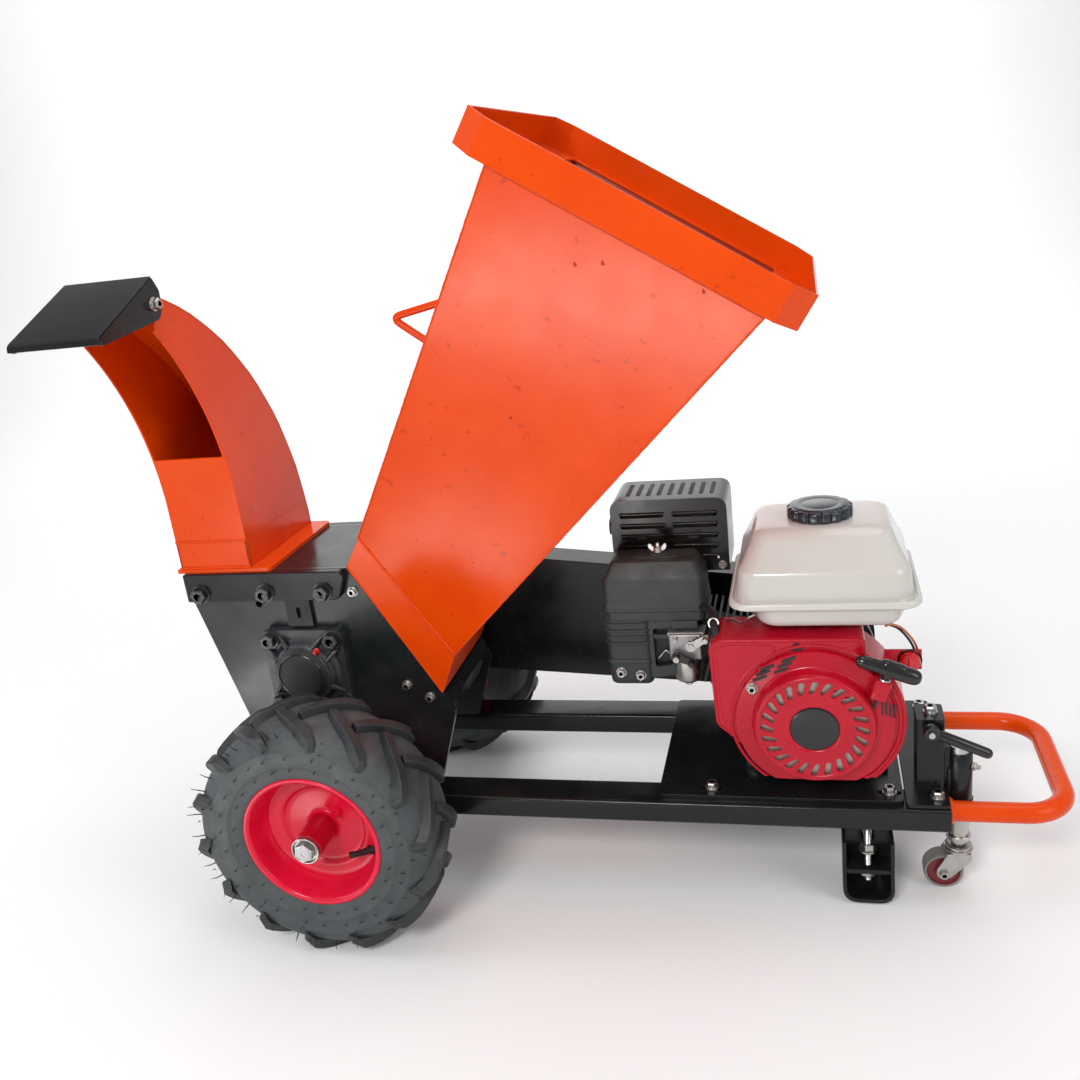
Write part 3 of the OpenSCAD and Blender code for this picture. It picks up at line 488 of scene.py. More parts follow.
def bolt(pos, axis, d, body, mat="zinc", washer=True, kind="bolt", turn=0.0, tag="bolt"):
    """Hexagon bolt or nut with its washers, seated at pos and facing along axis."""
    src = bolt_mesh(d, washer, kind)
    _count[tag] = _count.get(tag, 0) + 1
    name = "%s_%02d" % (tag, _count[tag])
    z = Vector(axis).normalized()
    q = z.to_track_quat("Z", "Y").to_matrix().to_4x4()
    mw = Matrix.Translation(Vector(pos) * MM) @ q @ Matrix.Rotation(math.radians(turn + 37 * _count[tag]),
            4, "Z")
    me = src.copy()
    me.materials.clear()
    return put(name, me, body, mat, bevel=0.00025, segs=2, matrix=mw)


def repaint(node, key):
    """Gives a CAD node its material."""
    o = NODES[node]
    o.data.materials.clear()
    o.data.materials.append(M[key])


# ---------------------------------------------------------------- road wheels
AXLE = (-338, 165)
WHEEL_Y = 238


def wheel(tag, s):
    """Road wheel: carcass, lugs, moulding hairs, rim, hub and valve."""
    body = "wheel_" + tag
    c = (AXLE[0], s * WHEEL_Y, AXLE[1])
    wall = [(86, 38), (88.4, 42.2), (91.5, 44.6), (96, 46.2), (103, 47.6), (109, 48.6), (110.5, 49.8),
            (112.5, 49.9), (114, 49.2), (121, 50.1), (128, 50.3), (129.4, 51.0), (131.2, 51.0),
            (132.4, 50.0), (139, 48.6), (145, 45.4), (149.5, 41), (152.4, 35), (153.6, 26), (154.4, 12)]
    inner = [(148, 0), (145, 25), (130, 36), (108, 38), (86, 34)]
    prof = wall + [(154.6, 0)] + [(r, -h) for r, h in wall[::-1]] + [(r, -h) for r, h in inner[:0:-1]] + inner
    prof = [(r, h * s) for r, h in prof]
    lathe("tyre_%s_carcass" % tag, prof, c, "Y", body, "side", n=144, smooth=50, replaces="tyre_" + tag,
          slot="tyre_rubber")

    # Lugs: long curved bars that cross the crown in turn and end in a block on the shoulder
    bm = bmesh.new()
    spine = [(-9, 162.6, 150, 0.0), (-5, 164.6, 152, 1.2), (4, 165.0, 152.5, 4.0), (14, 165.0, 152, 7.6),
             (24, 164.6, 151, 11.8), (33, 163.4, 149, 16.0), (40, 161.0, 146, 19.6),
             (45.5, 157.6, 142, 22.4), (49.6, 152.4, 138, 24.6), (51.2, 147, 135, 25.6)]
    count = 14
    for side in (-1, 1):
        for i in range(count):
            base = 360 / count * (i + (0.5 if side > 0 else 0))
            rows = []
            for k, (h, rt, rb, a) in enumerate(spine):
                p, q = spine[max(k - 1, 0)], spine[min(k + 1, len(spine) - 1)]
                t = Vector((math.radians(q[3] - p[3]) * 160, q[0] - p[0])).normalized()
                nrm = Vector((-t.y, t.x))
                wt, wb = 4.6 + 0.36 * k, 7.4 + 0.3 * k
                row = []
                for w, r in ((-wb, rb), (-wt, rt), (wt, rt), (wb, rb)):
                    ang = math.radians(base - a) - nrm.x * w / 160
                    hh = (h + nrm.y * w * (1 if k < 8 else 0.25)) * side
                    row.append(bm.verts.new(Vector((c[0] + r * math.cos(ang), c[1] + hh, c[2]
                                                    + r * math.sin(ang))) * MM))
                rows.append(row)
            for k in range(len(rows) - 1):
                for j in range(3):
                    bm.faces.new((rows[k][j], rows[k][j + 1], rows[k + 1][j + 1], rows[k + 1][j]))
                bm.faces.new((rows[k][3], rows[k][0], rows[k + 1][0], rows[k + 1][3]))
            bm.faces.new(rows[0])
            bm.faces.new(rows[-1][::-1])
    put("tyre_%s_lugs" % tag, mesh(bm, "tyre_%s_lugs" % tag, 0), body, "tyre", bevel=0.0011, segs=3, angle=25,
        slot="tyre_rubber")

    # Moulding hairs, all combed the same way
    bm = bmesh.new()
    rnd = random.Random(11 if s < 0 else 12)
    for ring, n, h in ((103, 23, 47.6), (121, 27, 50.1), (133.5, 14, 50), (149.5, 11, 49)):
        for i in range(n):
            a = 2 * math.pi * (i + rnd.uniform(-0.25, 0.25)) / n
            p0 = Vector((c[0] + ring * math.cos(a), c[1] + s * h, c[2] + ring * math.sin(a)))
            d = Vector((0.58, s * 0.5, 0.6)) + Vector([rnd.uniform(-0.14, 0.14) for _ in range(3)])
            d.normalize()
            ln = rnd.uniform(8, 13)
            bend = Vector((0, 0, -1)) * ln * 0.18
            sweep_bm([p0 - d, p0 + d * ln * 0.5, p0 + d * ln + bend], [0.8, 0.62, 0.35], 6, bm=bm)
    for i in range(26):
        a = math.radians(86 + 205 * i / 25 + rnd.uniform(-3, 3))
        d = Vector((math.cos(a), s * 0.45, math.sin(a))).normalized()
        p0 = Vector((c[0] + 147 * math.cos(a), c[1] + s * 43, c[2] + 147 * math.sin(a)))
        ln = rnd.uniform(14, 21) if d.z > -0.75 else 12
        lean = Vector((-math.sin(a), 0, math.cos(a))) * rnd.uniform(-3, 3)
        sweep_bm([p0 - d, p0 + d * ln * 0.5, p0 + d * ln + lean], [0.85, 0.65, 0.35], 6, bm=bm)
    put("tyre_%s_hairs" % tag, mesh(bm, "tyre_%s_hairs" % tag, 0), body, "rubber", smooth=60)

    side = [(86.5, 45.5), (84.6, 44.4), (83.3, 41.5), (82, 36), (80.8, 28), (79.2, 20), (76, 14), (72, 9),
            (71, 0)]
    hub_face = side + [(r, -h) for r, h in side[-2::-1]]
    tyre_face = [(88, -42.6), (86.2, -41), (84.8, -36), (83.4, -28), (81.8, -19), (78.2, -12.6), (74.6, -8),
                 (73.6, 0)]
    tyre_face += [(r, -h) for r, h in tyre_face[-2::-1]]
    roll0 = [(88.6, -46.1), (90.6, -45.6), (91.4, -44.2), (90.8, -42.9), (89.6, -42.6)]
    prof = hub_face + roll0 + tyre_face + [(r, -h) for r, h in roll0[::-1]]
    lathe("rim_%s_barrel" % tag, [(r, h * s) for r, h in prof], c, "Y", body, "rim", n=112, smooth=60,
          replaces="rim_" + tag, slot="crimson_paint")
    disc = [(80, 18), (78, 14.2), (74, 11), (68, 9.2), (61, 8.4), (57.5, 7.9), (55.5, 6.6), (54, 4.2),
            (52, 3.2), (47, 3), (26, 3), (21.5, 3.8), (19.2, 6), (18.6, 9), (18.6, 1), (22, 0.4), (50, 0),
            (54.5, 1.6), (57, 4.6), (61, 5.4), (68, 6.2), (76, 9.4), (80.5, 14)]
    lathe("rim_%s_disc" % tag, [(r, h * s) for r, h in disc], c, "Y", body, "rim", n=112, smooth=50,
          slot="crimson_paint")
    hub = [(10.3, -56), (17.6, -56), (18.5, -55), (18.5, 55.2), (17.8, 56), (16.6, 56), (16, 55.2),
           (10.3, 55.2)]
    lathe("hub_%s_tube" % tag, [(r, h * s) for r, h in hub], c, "Y", body, "crimson", n=64, smooth=40,
          slot="crimson_paint")
    # Round weld boss and the rubber valve
    w = lathe_bm([(0, 0), (7.6, 0), (7.4, 4.4), (6, 6), (2.2, 6.2), (1.6, 5.4), (0, 5.4)],
                 (c[0] + 20, c[1] + s * 3, c[2] + 20), "Y", 28)
    if s < 0:
        bmesh.ops.scale(w, vec=(1, -1, 1), verts=w.verts,
                        space=Matrix.Translation((0, -(c[1] + s * 3) * MM, 0)))
    put("rim_%s_boss" % tag, mesh(w, "rim_boss"), body, "rim", smooth=40)
    stem = [(64, 6, -32), (61, 9, -31.6), (57, 13, -31), (51, 19, -30), (45, 24, -29), (44.2, 24.6, -28.8),
            (39, 28, -28)]
    tube("valve_%s" % tag, [(c[0] + x, c[1] + s * y, c[2] + z) for x, y, z in stem],
         [6.6, 6.4, 4.6, 3.9, 3.7, 4.3, 4.2], body, "rubber", n=20)


wheel("near", -1)
wheel("far", 1)

for s, tag in ((-1, "near"), (1, "far")):
    c = (AXLE[0], 0, AXLE[1])
    bm = lathe_bm([(10.4, 294.5 * s), (17.6, 294.5 * s), (18, 295 * s), (18, 299.6 * s), (17.4, 300.3 * s),
                   (16.4, 300.1 * s), (15.8, 298.6 * s), (15.4, 296.6 * s), (10.4, 296.4 * s)], c, "Y", 56)
    rings = []
    for k, y in ((0.93, 296.5), (1, 297.3), (1, 304.3), (0.93, 305.2)):
        r = 11 / math.cos(math.pi / 6) * k
        rings.append([(c[0] + r * cosd(60 * i + 18), y * s, c[2] + r * sind(60 * i + 18))
                      for i in range(6)])
    loft_bm(rings, bm=bm)
    put("axle_nut_%s" % tag, mesh(bm, "axle_nut_" + tag, 0), "chassis", "zinc", bevel=0.0004, segs=2,
        replaces="axle_nuts", slot="zinc_plate")
    lathe("axle_end_%s" % tag, [(0, 300 * s), (9.6, 300 * s), (9.6, 305.2 * s), (9, 305.9 * s),
                                (2.6, 305.9 * s), (1.8, 304.6 * s), (0, 304.6 * s)], c, "Y", "chassis",
          "steel", n=40, closed=False)

# ---------------------------------------------------------------- feed hopper
MOUTH = (-43, 979)
MA = math.radians(33.2)
ML, MW, CUT, RIM_H = 393, 224, 27, 40
MX = Matrix.Translation((MOUTH[0] * MM, 0, MOUTH[1] * MM)) @ Matrix.Rotation(MA, 4, "Y")


def under(s):
    """Point on the underside of the rim, s along its slope."""
    return (MOUTH[0] + s * math.cos(MA) - RIM_H * math.sin(MA),
            MOUTH[1] - s * math.sin(MA) - RIM_H * math.cos(MA))


NECK_LOW = ((-319, 454), (-213, 271))
NECK_TOP = ((-294, 495), (-187, 328))
FUN_TOP = (under(44.3), under(357.2))
NECK_W, FUN_W, SHEET = 92, 216, 3


def feed_sheet(name, a, wa, b, wb, t, mat, replaces, fold=True, rad=1.6):
    """Open four-sided sheet tube from edge pair a to edge pair b, its sides folded on a diagonal."""
    bm = bmesh.new()
    v = [bm.verts.new(Vector(p) * MM) for p in (
        (a[0][0], -wa, a[0][1]), (a[1][0], -wa, a[1][1]), (a[1][0], wa, a[1][1]), (a[0][0], wa, a[0][1]),
        (b[0][0], -wb, b[0][1]), (b[1][0], -wb, b[1][1]), (b[1][0], wb, b[1][1]), (b[0][0], wb, b[0][1]))]
    fs = [(0, 4, 5), (0, 5, 1), (1, 5, 6, 2), (2, 6, 7), (2, 7, 3), (3, 7, 4, 0)]
    if not fold:
        fs = [(0, 4, 5, 1), (1, 5, 6, 2), (2, 6, 7, 3), (3, 7, 4, 0)]
    mid = sum((x.co for x in v), Vector()) / 8
    for f in fs:
        face = bm.faces.new([v[i] for i in f])
        face.normal_update()
        if face.normal.dot(face.calc_center_median() - mid) < 0:
            face.normal_flip()
    me = bpy.data.meshes.new(name)
    bm.to_mesh(me)
    bm.free()
    o = put(name, me, "chassis", mat, replaces=replaces, slot="orange_paint")
    s = o.modifiers.new("sheet", "SOLIDIFY")
    s.thickness = t * MM
    s.offset = -1
    s.use_even_offset = True
    s.material_offset = 1 if isinstance(mat, (list, tuple)) else 0
    e = o.modifiers.new("edge", "BEVEL")
    e.width = rad * MM
    e.segments = 4
    e.limit_method = "ANGLE"
    e.angle_limit = math.radians(8)
    e.harden_normals = True
    me.shade_smooth()
    return o


# The inner faces of the sheets get the darker inside orange, which paints the shade inside the hopper.
feed_sheet("neck_sheet", NECK_LOW, NECK_W, NECK_TOP, NECK_W, SHEET, ("orange", "orange_in"), "hopper_neck",
           fold=False)
feed_sheet("funnel_sheet", NECK_TOP, NECK_W, FUN_TOP, FUN_W, SHEET, ("orange", "orange_in"), "hopper_funnel")


def cut_rect(i):
    """Mouth outline with cut corners, i inside the rim."""
    c, l, w = CUT, ML, MW
    return [(c, -w + i), (l - c, -w + i), (l - i, -w + c), (l - i, w - c), (l - c, w - i), (c, w - i),
            (i, w - c), (i, -w + c)]


def rim_ring(outer, inner, z0, z1):
    """Closed ring between two outlines with the same number of corners."""
    return [[(MX @ Vector((x * MM, y * MM, z * MM))) / MM for x, y in o] for o, z in (
        (outer, z0), (outer, z1), (inner, z1), (inner, z0))]


opening = [(50, -210), (352, -210), (354, -208), (354, 208), (352, 210), (50, 210), (48, 208), (48, -208)]
loft("rim_band", rim_ring(cut_rect(0), cut_rect(SHEET), -RIM_H, 0), "chassis", "orange", closed=True,
     smooth=None, bevel=0.0012, segs=3, replaces="hopper_rim", slot="orange_paint")
loft("rim_flange", rim_ring(cut_rect(1.2), opening, -RIM_H + 0.4, -RIM_H + 3.4), "chassis", "orange",
     closed=True, smooth=None, bevel=0.0008, segs=2, slot="orange_paint")


def weld(name, a, b, r, body="chassis", mat="orange", pitch=2.6, seed=1):
    """Bead of overlapping ripples from a to b."""
    a, b = Vector(a), Vector(b)
    n = max(6, int((b - a).length / (pitch / 4)))
    rnd = random.Random(seed)
    pts, rad = [], []
    w = 0.0
    for i in range(n + 1):
        w = w * 0.8 + rnd.uniform(-0.12, 0.12)
        pts.append(a.lerp(b, i / n) + Vector((w, w * 0.6, -w)) * 0.6)
        rad.append(r * (0.86 + 0.18 * abs(math.sin(i * math.pi / 4)) + rnd.uniform(-0.05, 0.05)))
    rad[0] = rad[-1] = r * 0.4
    return tube(name, pts, rad, body, mat, n=10)


for s, tag in ((-1, "near"), (1, "far")):
    y0, y1 = s * NECK_W, s * FUN_W
    weld("weld_neck_" + tag, (-294, y0 + s * 0.3, 495), (-187, y0 + s * 0.3, 328), 1.9, seed=2)
    weld("weld_low_" + tag, (-188, y0, 328), (FUN_TOP[1][0], y1, FUN_TOP[1][1]), 1.3, seed=3)
    weld("weld_high_" + tag, (-294, y0, 495), (FUN_TOP[0][0], y1, FUN_TOP[0][1]), 1.2, seed=4)
    weld("weld_mouth_" + tag, (FUN_TOP[0][0], y1, FUN_TOP[0][1] - 1),
         (FUN_TOP[1][0], y1, FUN_TOP[1][1] - 1), 1.5, seed=5)
weld("weld_cross_high", (-294, -92, 495), (-294, 92, 495), 1.9, seed=6)
weld("weld_cross_low", (-187, -92, 328), (-187, 92, 328), 1.9, seed=7)

# Runs in the thick paint of the near side, drawn in the darker inside orange: painted shade on the runs
bm = bmesh.new()
near_side = Vector((-0.13, -0.97, -0.2)).normalized()
for x, z, ln in ((49, 818, 8), (78, 817, 9), (126, 842, 5), (176, 781, 8), (-52, 655, 6)):
    y = -NECK_W - (near_side.x * (x - NECK_TOP[0][0]) + near_side.z * (z - NECK_TOP[0][1])) / near_side.y
    sweep_bm([(x, y, z + ln * 0.6), (x + 0.4, y, z), (x + 0.8, y, z - ln * 0.4)], [0.3, 1.3, 1.9], 12, bm=bm)
put("paint_runs", mesh(bm, "paint_runs", 0), "chassis", "orange_in", smooth=60)

# Grab handle: one bent rod with welded feet
tip = Vector((-238, 0, 758))
top_end, low_end = Vector((-110, 0, 782.5)), Vector((-157, 0, 695.5))
d1, d2 = (top_end - tip).normalized(), (low_end - tip).normalized()
path = [top_end, tip + d1 * 60, tip + d1 * 22]
for k in range(9):
    u = k / 8
    path.append((1 - u) ** 2 * (tip + d1 * 16) + 2 * u * (1 - u) * (tip - (d1 + d2).normalized() * 1)
                + u * u * (tip + d2 * 16))
path += [tip + d2 * 22, tip + d2 * 50, low_end]
tube("grab_handle", path, 5, "chassis", "orange", n=20, replaces="hopper_handle", slot="orange_paint")
for i, (p, d) in enumerate(((top_end, d1), (low_end, d2))):
    tube("grab_weld_%d" % i, [p - d * 7, p - d * 5, p - d * 2.5, p], [5.1, 6.2, 7.4, 8.2], "chassis",
         "orange", n=20)

# ---------------------------------------------------------------- discharge chute


def arc(cy, cz, r, a0, a1, n):
    """Points along an arc, from angle a0 to a1."""
    return [(cy + r * cosd(a0 + (a1 - a0) * i / n), cz + r * sind(a0 + (a1 - a0) * i / n))
            for i in range(n + 1)]


CX0, CX1 = -561, -455
back = arc(-302.6, 454, 394.6, 0, 70.5, 40)
front = arc(-460, 541, 368, 42, 0, 30)
side_loop = [(91.6, 496.6)] + [q for q in back if q[1] > 497] + front + [(-92, 496.6)]
for i, x in enumerate((CX0, CX1 - 3)):
    plate("chute_side_%d" % i, side_loop, [], "yz", x, x + 3, "chassis", "orange", bevel=0.9,
          replaces="chute", slot="orange_paint")
    plate("chute_ear_%d" % i, circ(-184, 818, 13, 40), [circ(-184, 818, 4.1, 20)], "yz",
          x - 0.4 * (1 - i), x + 3 + 0.4 * i, "chassis", "orange", bevel=0.9)
plate("chute_back", arc(-302.6, 454, 394.2, 6.2, 70.3, 46) + arc(-302.6, 454, 391.4, 70.3, 6.2, 46), [],
      "yz", CX0 + 2.4, CX1 - 2.4, "chassis", "orange", bevel=0.6)
plate("chute_front", [(-91.6, 497)] + arc(-460, 541, 368.4, 0, 11.3, 12)
      + arc(-460, 541, 371.2, 11.3, 0, 12) + [(-88.8, 497)], [], "yz", CX0 + 2.4, CX1 - 2.4, "chassis",
      "orange", bevel=0.6)
for i, x in enumerate((CX0 + 0.6, CX1 - 0.6)):
    pts = [(x, y + 0.2, z) for y, z in back[::2]]
    bm = sweep_bm(pts, [1.3 + 0.25 * math.sin(k * 1.9) for k in range(len(pts))], 10)
    put("chute_weld_back_%d" % i, mesh(bm, "weld", 0), "chassis", "orange", smooth=60)

# Collar: folded flange and the sleeve that the chute stands in
fl = rounded([(-565, -98), (-425, -98), (-425, 98), (-565, 98)], [3, 9, 9, 3])
plate("collar_flange", fl, [[(CX0 + 3, -89), (CX1 - 3, -89), (CX1 - 3, 89), (CX0 + 3, 89)]], "xy", 454, 459,
      "chassis", "orange", bevel=1.0, replaces="chute_collar", slot="orange_paint")
for s, tag in ((-1, "near"), (1, "far")):
    lip = [(s * 92, 459), (s * 92, 495.5), (s * 90.5, 497), (s * 89, 495.5), (s * 89, 459)]
    plate("collar_wall_" + tag, lip, [], "yz", CX0, CX1, "chassis", "orange", bevel=0.7)
for i, x in enumerate((CX0, CX1 - 3)):
    plate("collar_end_%d" % i, [(-92, 459), (92, 459), (92, 497), (-92, 497)], [], "yz", x, x + 3,
          "chassis", "orange", bevel=0.8)
weld("weld_collar", (CX0, -92.6, 459.6), (CX1, -92.6, 459.6), 2.0, seed=8)
weld("weld_collar_top", (CX0, -92.4, 497), (CX1, -92.4, 497), 1.5, seed=9)

# Deflector cap: folded plate with two rounded cheeks and stiffened front lip
X0, X1 = CX0 - 5, CX1 + 5
cheek = rounded([(-176, 848), (-294, 797), (-289, 788), (-177, 800), (-167, 811), (-166, 832)],
                [4, 2, 3, 9, 10, 9])
for i, x in enumerate((X0, X1 - 3)):
    plate("deflector_cheek_%d" % i, cheek, [circ(-184, 818, 4.15, 20)], "yz", x, x + 3, "deflector_cap",
          "black", bevel=0.8, replaces="deflector", slot="black_paint")
lid = [(-176, 849), (-291, 799.4), (-295, 796), (-296, 790), (-293.4, 789.6), (-292.4, 794.4),
       (-289.6, 796.8), (-176.8, 846)]
plate("deflector_lid", lid, [], "yz", X0, X1, "deflector_cap", "black", bevel=0.8)
for i, (x, d) in enumerate(((X0 - 0.4, -1), (X1 + 0.4, 1))):
    bolt((x, -184, 818), (d, 0, 0), 7.5, "chassis", "zinc", tag="hinge_bolt")
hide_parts("deflector_pins")

# ---------------------------------------------------------------- chipping chamber
RX, RZ = -396, 313
chamber = [(-555, 454), (-319, 454), (-213, 271), (-199, 241), (-223, 169), (-232, 141), (-484, 141),
           (-512, 248), (-555, 414)]
small_bolts = [(-315, 421), (-261, 284), (-231, 266)]
for s, tag in ((-1, "near"), (1, "far")):
    y0, y1 = (s * 84, s * 92) if s > 0 else (-92, -84)
    holes = [circ(RX, RZ, 21.5, 40), circ(-456, 405, 5, 24)]
    plate("side_plate_%s_skin" % tag, rounded(chamber, [2, 2, 3, 8, 6, 3, 4, 6, 3]), holes, "xz", y0, y1,
          "chassis", "plate", bevel=0.9, segs=3, replaces="side_plate_" + tag, slot="black_paint")
    ys = sorted((s * 92.1, s * 104))
    bar = rounded([(-555, 454), (-325, 454), (-319, 446), (-330, 416), (-338, 414), (-555, 414)],
                  [3, 4, 5, 5, 4, 3])
    plate("top_bar_" + tag, bar, [], "xz", ys[0], ys[1], "chassis", "black", bevel=1.6, segs=4,
          replaces="top_bars" if s < 0 else (), slot="black_paint")
    ys = sorted((s * 92, s * 98))
    plate("rib_bar_" + tag, rounded([(-414, 373), (-378, 373), (-378, 414), (-414, 414)], 1.5),
          [rounded([(-399, 386), (-393, 386), (-393, 402), (-399, 402)], 2.8)], "xz", ys[0], ys[1],
          "chassis", "black", bevel=0.9)
    n = (0, s, 0)
    for x in (-532, -436, -352):
        bolt((x, s * 104, 426), n, 12, "chassis", "dark_bolt", tag="bar_bolt")
    for x, z in small_bolts:
        bolt((x, s * 92, z), n, 6.5, "chassis", "zinc", tag="side_bolt")
    weld("weld_bar_" + tag, (-553, s * 92.6, 413.4), (-338, s * 92.6, 413.4), 1.8, mat="plate", seed=20)
    weld("weld_side_" + tag, (-316, s * 91, 456), (-213, s * 91, 273), 1.6, mat="orange", seed=21)
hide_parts("chamber_bolts")
box("chamber_lid", (-452, -84, 446), (-322, 84, 454), "chassis", "black", bevel=0.8)

# Flange bearings: a ribbed square casting with a turned housing, grease point and a domed cap
for s, tag in ((-1, "near"), (1, "far")):
    y = s * 92
    ys = sorted((y, y + s * 13))
    sq = rounded([(RX - 58.5, RZ - 58.5), (RX + 58.5, RZ - 58.5), (RX + 58.5, RZ + 58.5),
                  (RX - 58.5, RZ + 58.5)], 15, 8)
    plate("bearing_flange_" + tag, sq, [circ(RX, RZ, 30, 48)], "xz", ys[0], ys[1], "chassis", "cast",
          bevel=2.4, segs=4, replaces="bearing_units" if s < 0 else (), slot="cast_iron")
    prof = [(18.2, 0), (49, 12), (47.4, 14), (44.6, 16.6), (43.4, 20), (42, 24), (40, 25.6), (38.4, 26),
            (37.6, 28), (36.2, 29), (33, 29), (32, 27), (24, 26.4), (22.4, 27.6), (18.2, 27.6)]
    lathe("bearing_housing_" + tag, [(r, h * s) for r, h in prof], (RX, y, RZ), "Y", "chassis", "cast",
          n=96, smooth=35)
    for i in range(4):
        a = math.radians(45 + 90 * i)
        for da in (-0.30, 0.30):
            p = [(RX + r * math.cos(a + da * 44 / r), y + s * h, RZ + r * math.sin(a + da * 44 / r))
                 for r, h in ((40, 24), (46, 20.5), (54, 16.2), (60, 13.4))]
            tube("bearing_rib_%s_%d_%d" % (tag, i, da > 0), p, [3.6, 3.8, 3.4, 2.2], "chassis", "cast", n=12)
        bx, bz = RX + 46 * math.copysign(1, math.cos(a)), RZ + 46 * math.copysign(1, math.sin(a))
        lathe("bearing_pad_%s_%d" % (tag, i), [(0, 12.4), (14, 12.4), (13.4, 14.6), (12.4, 15), (0, 15)]
              if s > 0 else [(0, -12.4), (14, -12.4), (13.4, -14.6), (12.4, -15), (0, -15)], (bx, y, bz),
              "Y", "chassis", "cast", n=40)
        bolt((bx, y + s * 15, bz), (0, s, 0), 12, "chassis", "dark_bolt", tag="bearing_bolt")
    p = (RX + 26, y + s * 25, RZ + 34)
    lathe("grease_point_" + tag, [(0, 0), (4.2, 0), (4.2, 2.2 * s), (3, 3 * s), (2.2, 6 * s),
                                  (2.9, 7.4 * s), (2, 9 * s), (0, 9.2 * s)], p, "Y", "chassis",
          "red_plastic", n=20)
dome = [(0, -37), (14, -36.9), (26, -36.3), (30.6, -34.6), (34.4, -31.4), (36.8, -29.2), (37, -28.4),
        (34, -28.4), (0, -30)]
lathe("bearing_cap", dome, (RX, -92, RZ), "Y", "chassis", "rubber", n=72, smooth=50)
lathe("bearing_cap_rim", [(30.5, -34.2), (31.6, -35.6), (33, -35), (33.4, -33.4), (31.6, -32.6)],
      (RX, -92, RZ), "Y", "chassis", "gloss_black", n=72, smooth=60)

# ---------------------------------------------------------------- frame
def channel(name, y, mat="black"):
    """Frame rail of square tube."""
    w, h = 25, 15
    out = rounded([(y - w, 111), (y + w, 111), (y + w, 141), (y - w, 141)], 5, 6)
    inn = rounded([(y - w + 3, 114), (y + w - 3, 114), (y + w - 3, 138), (y - w + 3, 138)], 2.5, 6)
    return plate(name, out, [inn], "yz", -440, 421, "chassis", mat, bevel=0.5,
                 replaces=name.replace("_tube", ""), slot="black_paint", smooth=None)


channel("rail_near_tube", -111)
channel("rail_far_tube", 111)
plate("cross_tube", rounded([(378, 111), (412, 111), (412, 141), (378, 141)], 4, 5),
      [rounded([(381, 114), (409, 114), (409, 138), (381, 138)], 2, 5)], "xz", -86, 86, "chassis", "black",
      bevel=0.5, replaces="cross_member", slot="black_paint")


def slot_loop(x, y, l=28, w=8.4):
    """Outline of a long hole."""
    return (circ(x + (l - w) / 2, y, w / 2, 12, -math.pi / 2, math.pi / 2, False) +
            circ(x - (l - w) / 2, y, w / 2, 12, math.pi / 2, 1.5 * math.pi, False))


plate("deck_plate", rounded([(71, -125), (369, -125), (369, 125), (71, 125)], 7),
      [slot_loop(x, y) for x in (138, 353) for y in (-107, 107)], "xy", 141, 147, "chassis", "black",
      bevel=0.9, segs=3, replaces="engine_plate", slot="black_paint")
plate("end_plate_sheet", rounded([(371, -131), (421, -131), (421, 131), (371, 131)], 5), [], "xy", 141, 146,
      "chassis", "black", bevel=0.9, segs=3, replaces="end_plate", slot="black_paint")
for x in (138, 353):
    for y in (-107, 107):
        bolt((x, y, 147), (0, 0, 1), 8, "chassis", "zinc", tag="deck_bolt")
        # The parking foot slides up past the fourth bolt, so that one is tapped into the rail
        if (x, y) != (353, -107):
            bolt((x, y, 111), (0, 0, -1), 8, "chassis", "zinc", kind="nut", tag="deck_nut")
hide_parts("frame_bolts")
for y in (-112, 112):
    bolt((408, y, 146), (0, 0, 1), 8, "chassis", "zinc", tag="end_bolt")
bolt((402, -83, 246), (0, 0, 1), 8, "chassis", "zinc", tag="post_bolt")
for x in (188, 345):
    for y in (-38, 64):
        bolt((x, y, 159), (0, 0, 1), 8, "chassis", "zinc", tag="engine_bolt")

# Tow loop bent from one tube, with its welded sockets
LOOP_Y, LOOP_Z, BEND = 110, 126, 50
path = [(x, -LOOP_Y, LOOP_Z) for x in (421, 440, 480, 507)]
path += [(507.5 + BEND * sind(a), BEND * -cosd(a) - 60, LOOP_Z) for a in range(9, 90, 9)]
path += [(557.5, y, LOOP_Z) for y in (-60, -30, 0, 30, 60)]
path += [(507.5 + BEND * cosd(a), 60 + BEND * sind(a), LOOP_Z) for a in range(9, 90, 9)]
path += [(x, LOOP_Y, LOOP_Z) for x in (507, 480, 440, 421)]
tube("tow_tube", path, 12.5, "chassis", "orange", n=32, replaces="tow_loop", slot="orange_paint")
for y in (-110, 110):
    bm = lathe_bm([(12.3, 0), (16.2, 0), (16.6, 1.6), (15.2, 3.8), (12.3, 6)], (421.2, y, 126), "X", 48)
    for v in bm.verts:
        a = math.atan2(v.co.y * 1000 - y, v.co.z * 1000 - 126)
        v.co.x += 0.0004 * math.sin(a * 19) * (v.co.x * 1000 > 421.5)
    put("tow_weld_%d" % (y > 0), mesh(bm, "tow_weld"), "chassis", "orange", smooth=50)

# Axle, with its saddle welds
tube("axle_tube", [(-338, y, 165) for y in (-176, -175, -90, 0, 90, 175, 176)],
     [21.5, 23, 23, 23, 23, 23, 21.5], "chassis", "black", n=48, replaces="axle_beam", slot="black_paint")
tube("axle_stub", [(-338, y, 165) for y in (-299.8, -176, 0, 176, 299.8)], 10, "chassis", "steel", n=32)
for s in (-1, 1):
    lathe("axle_collar_%d" % (s > 0), [(10.1, 176 * s), (20, 176 * s), (20, 178.6 * s), (18, 181 * s),
                                       (10.1, 181 * s)], (-338, 0, 165), "Y", "chassis", "zinc", n=40)

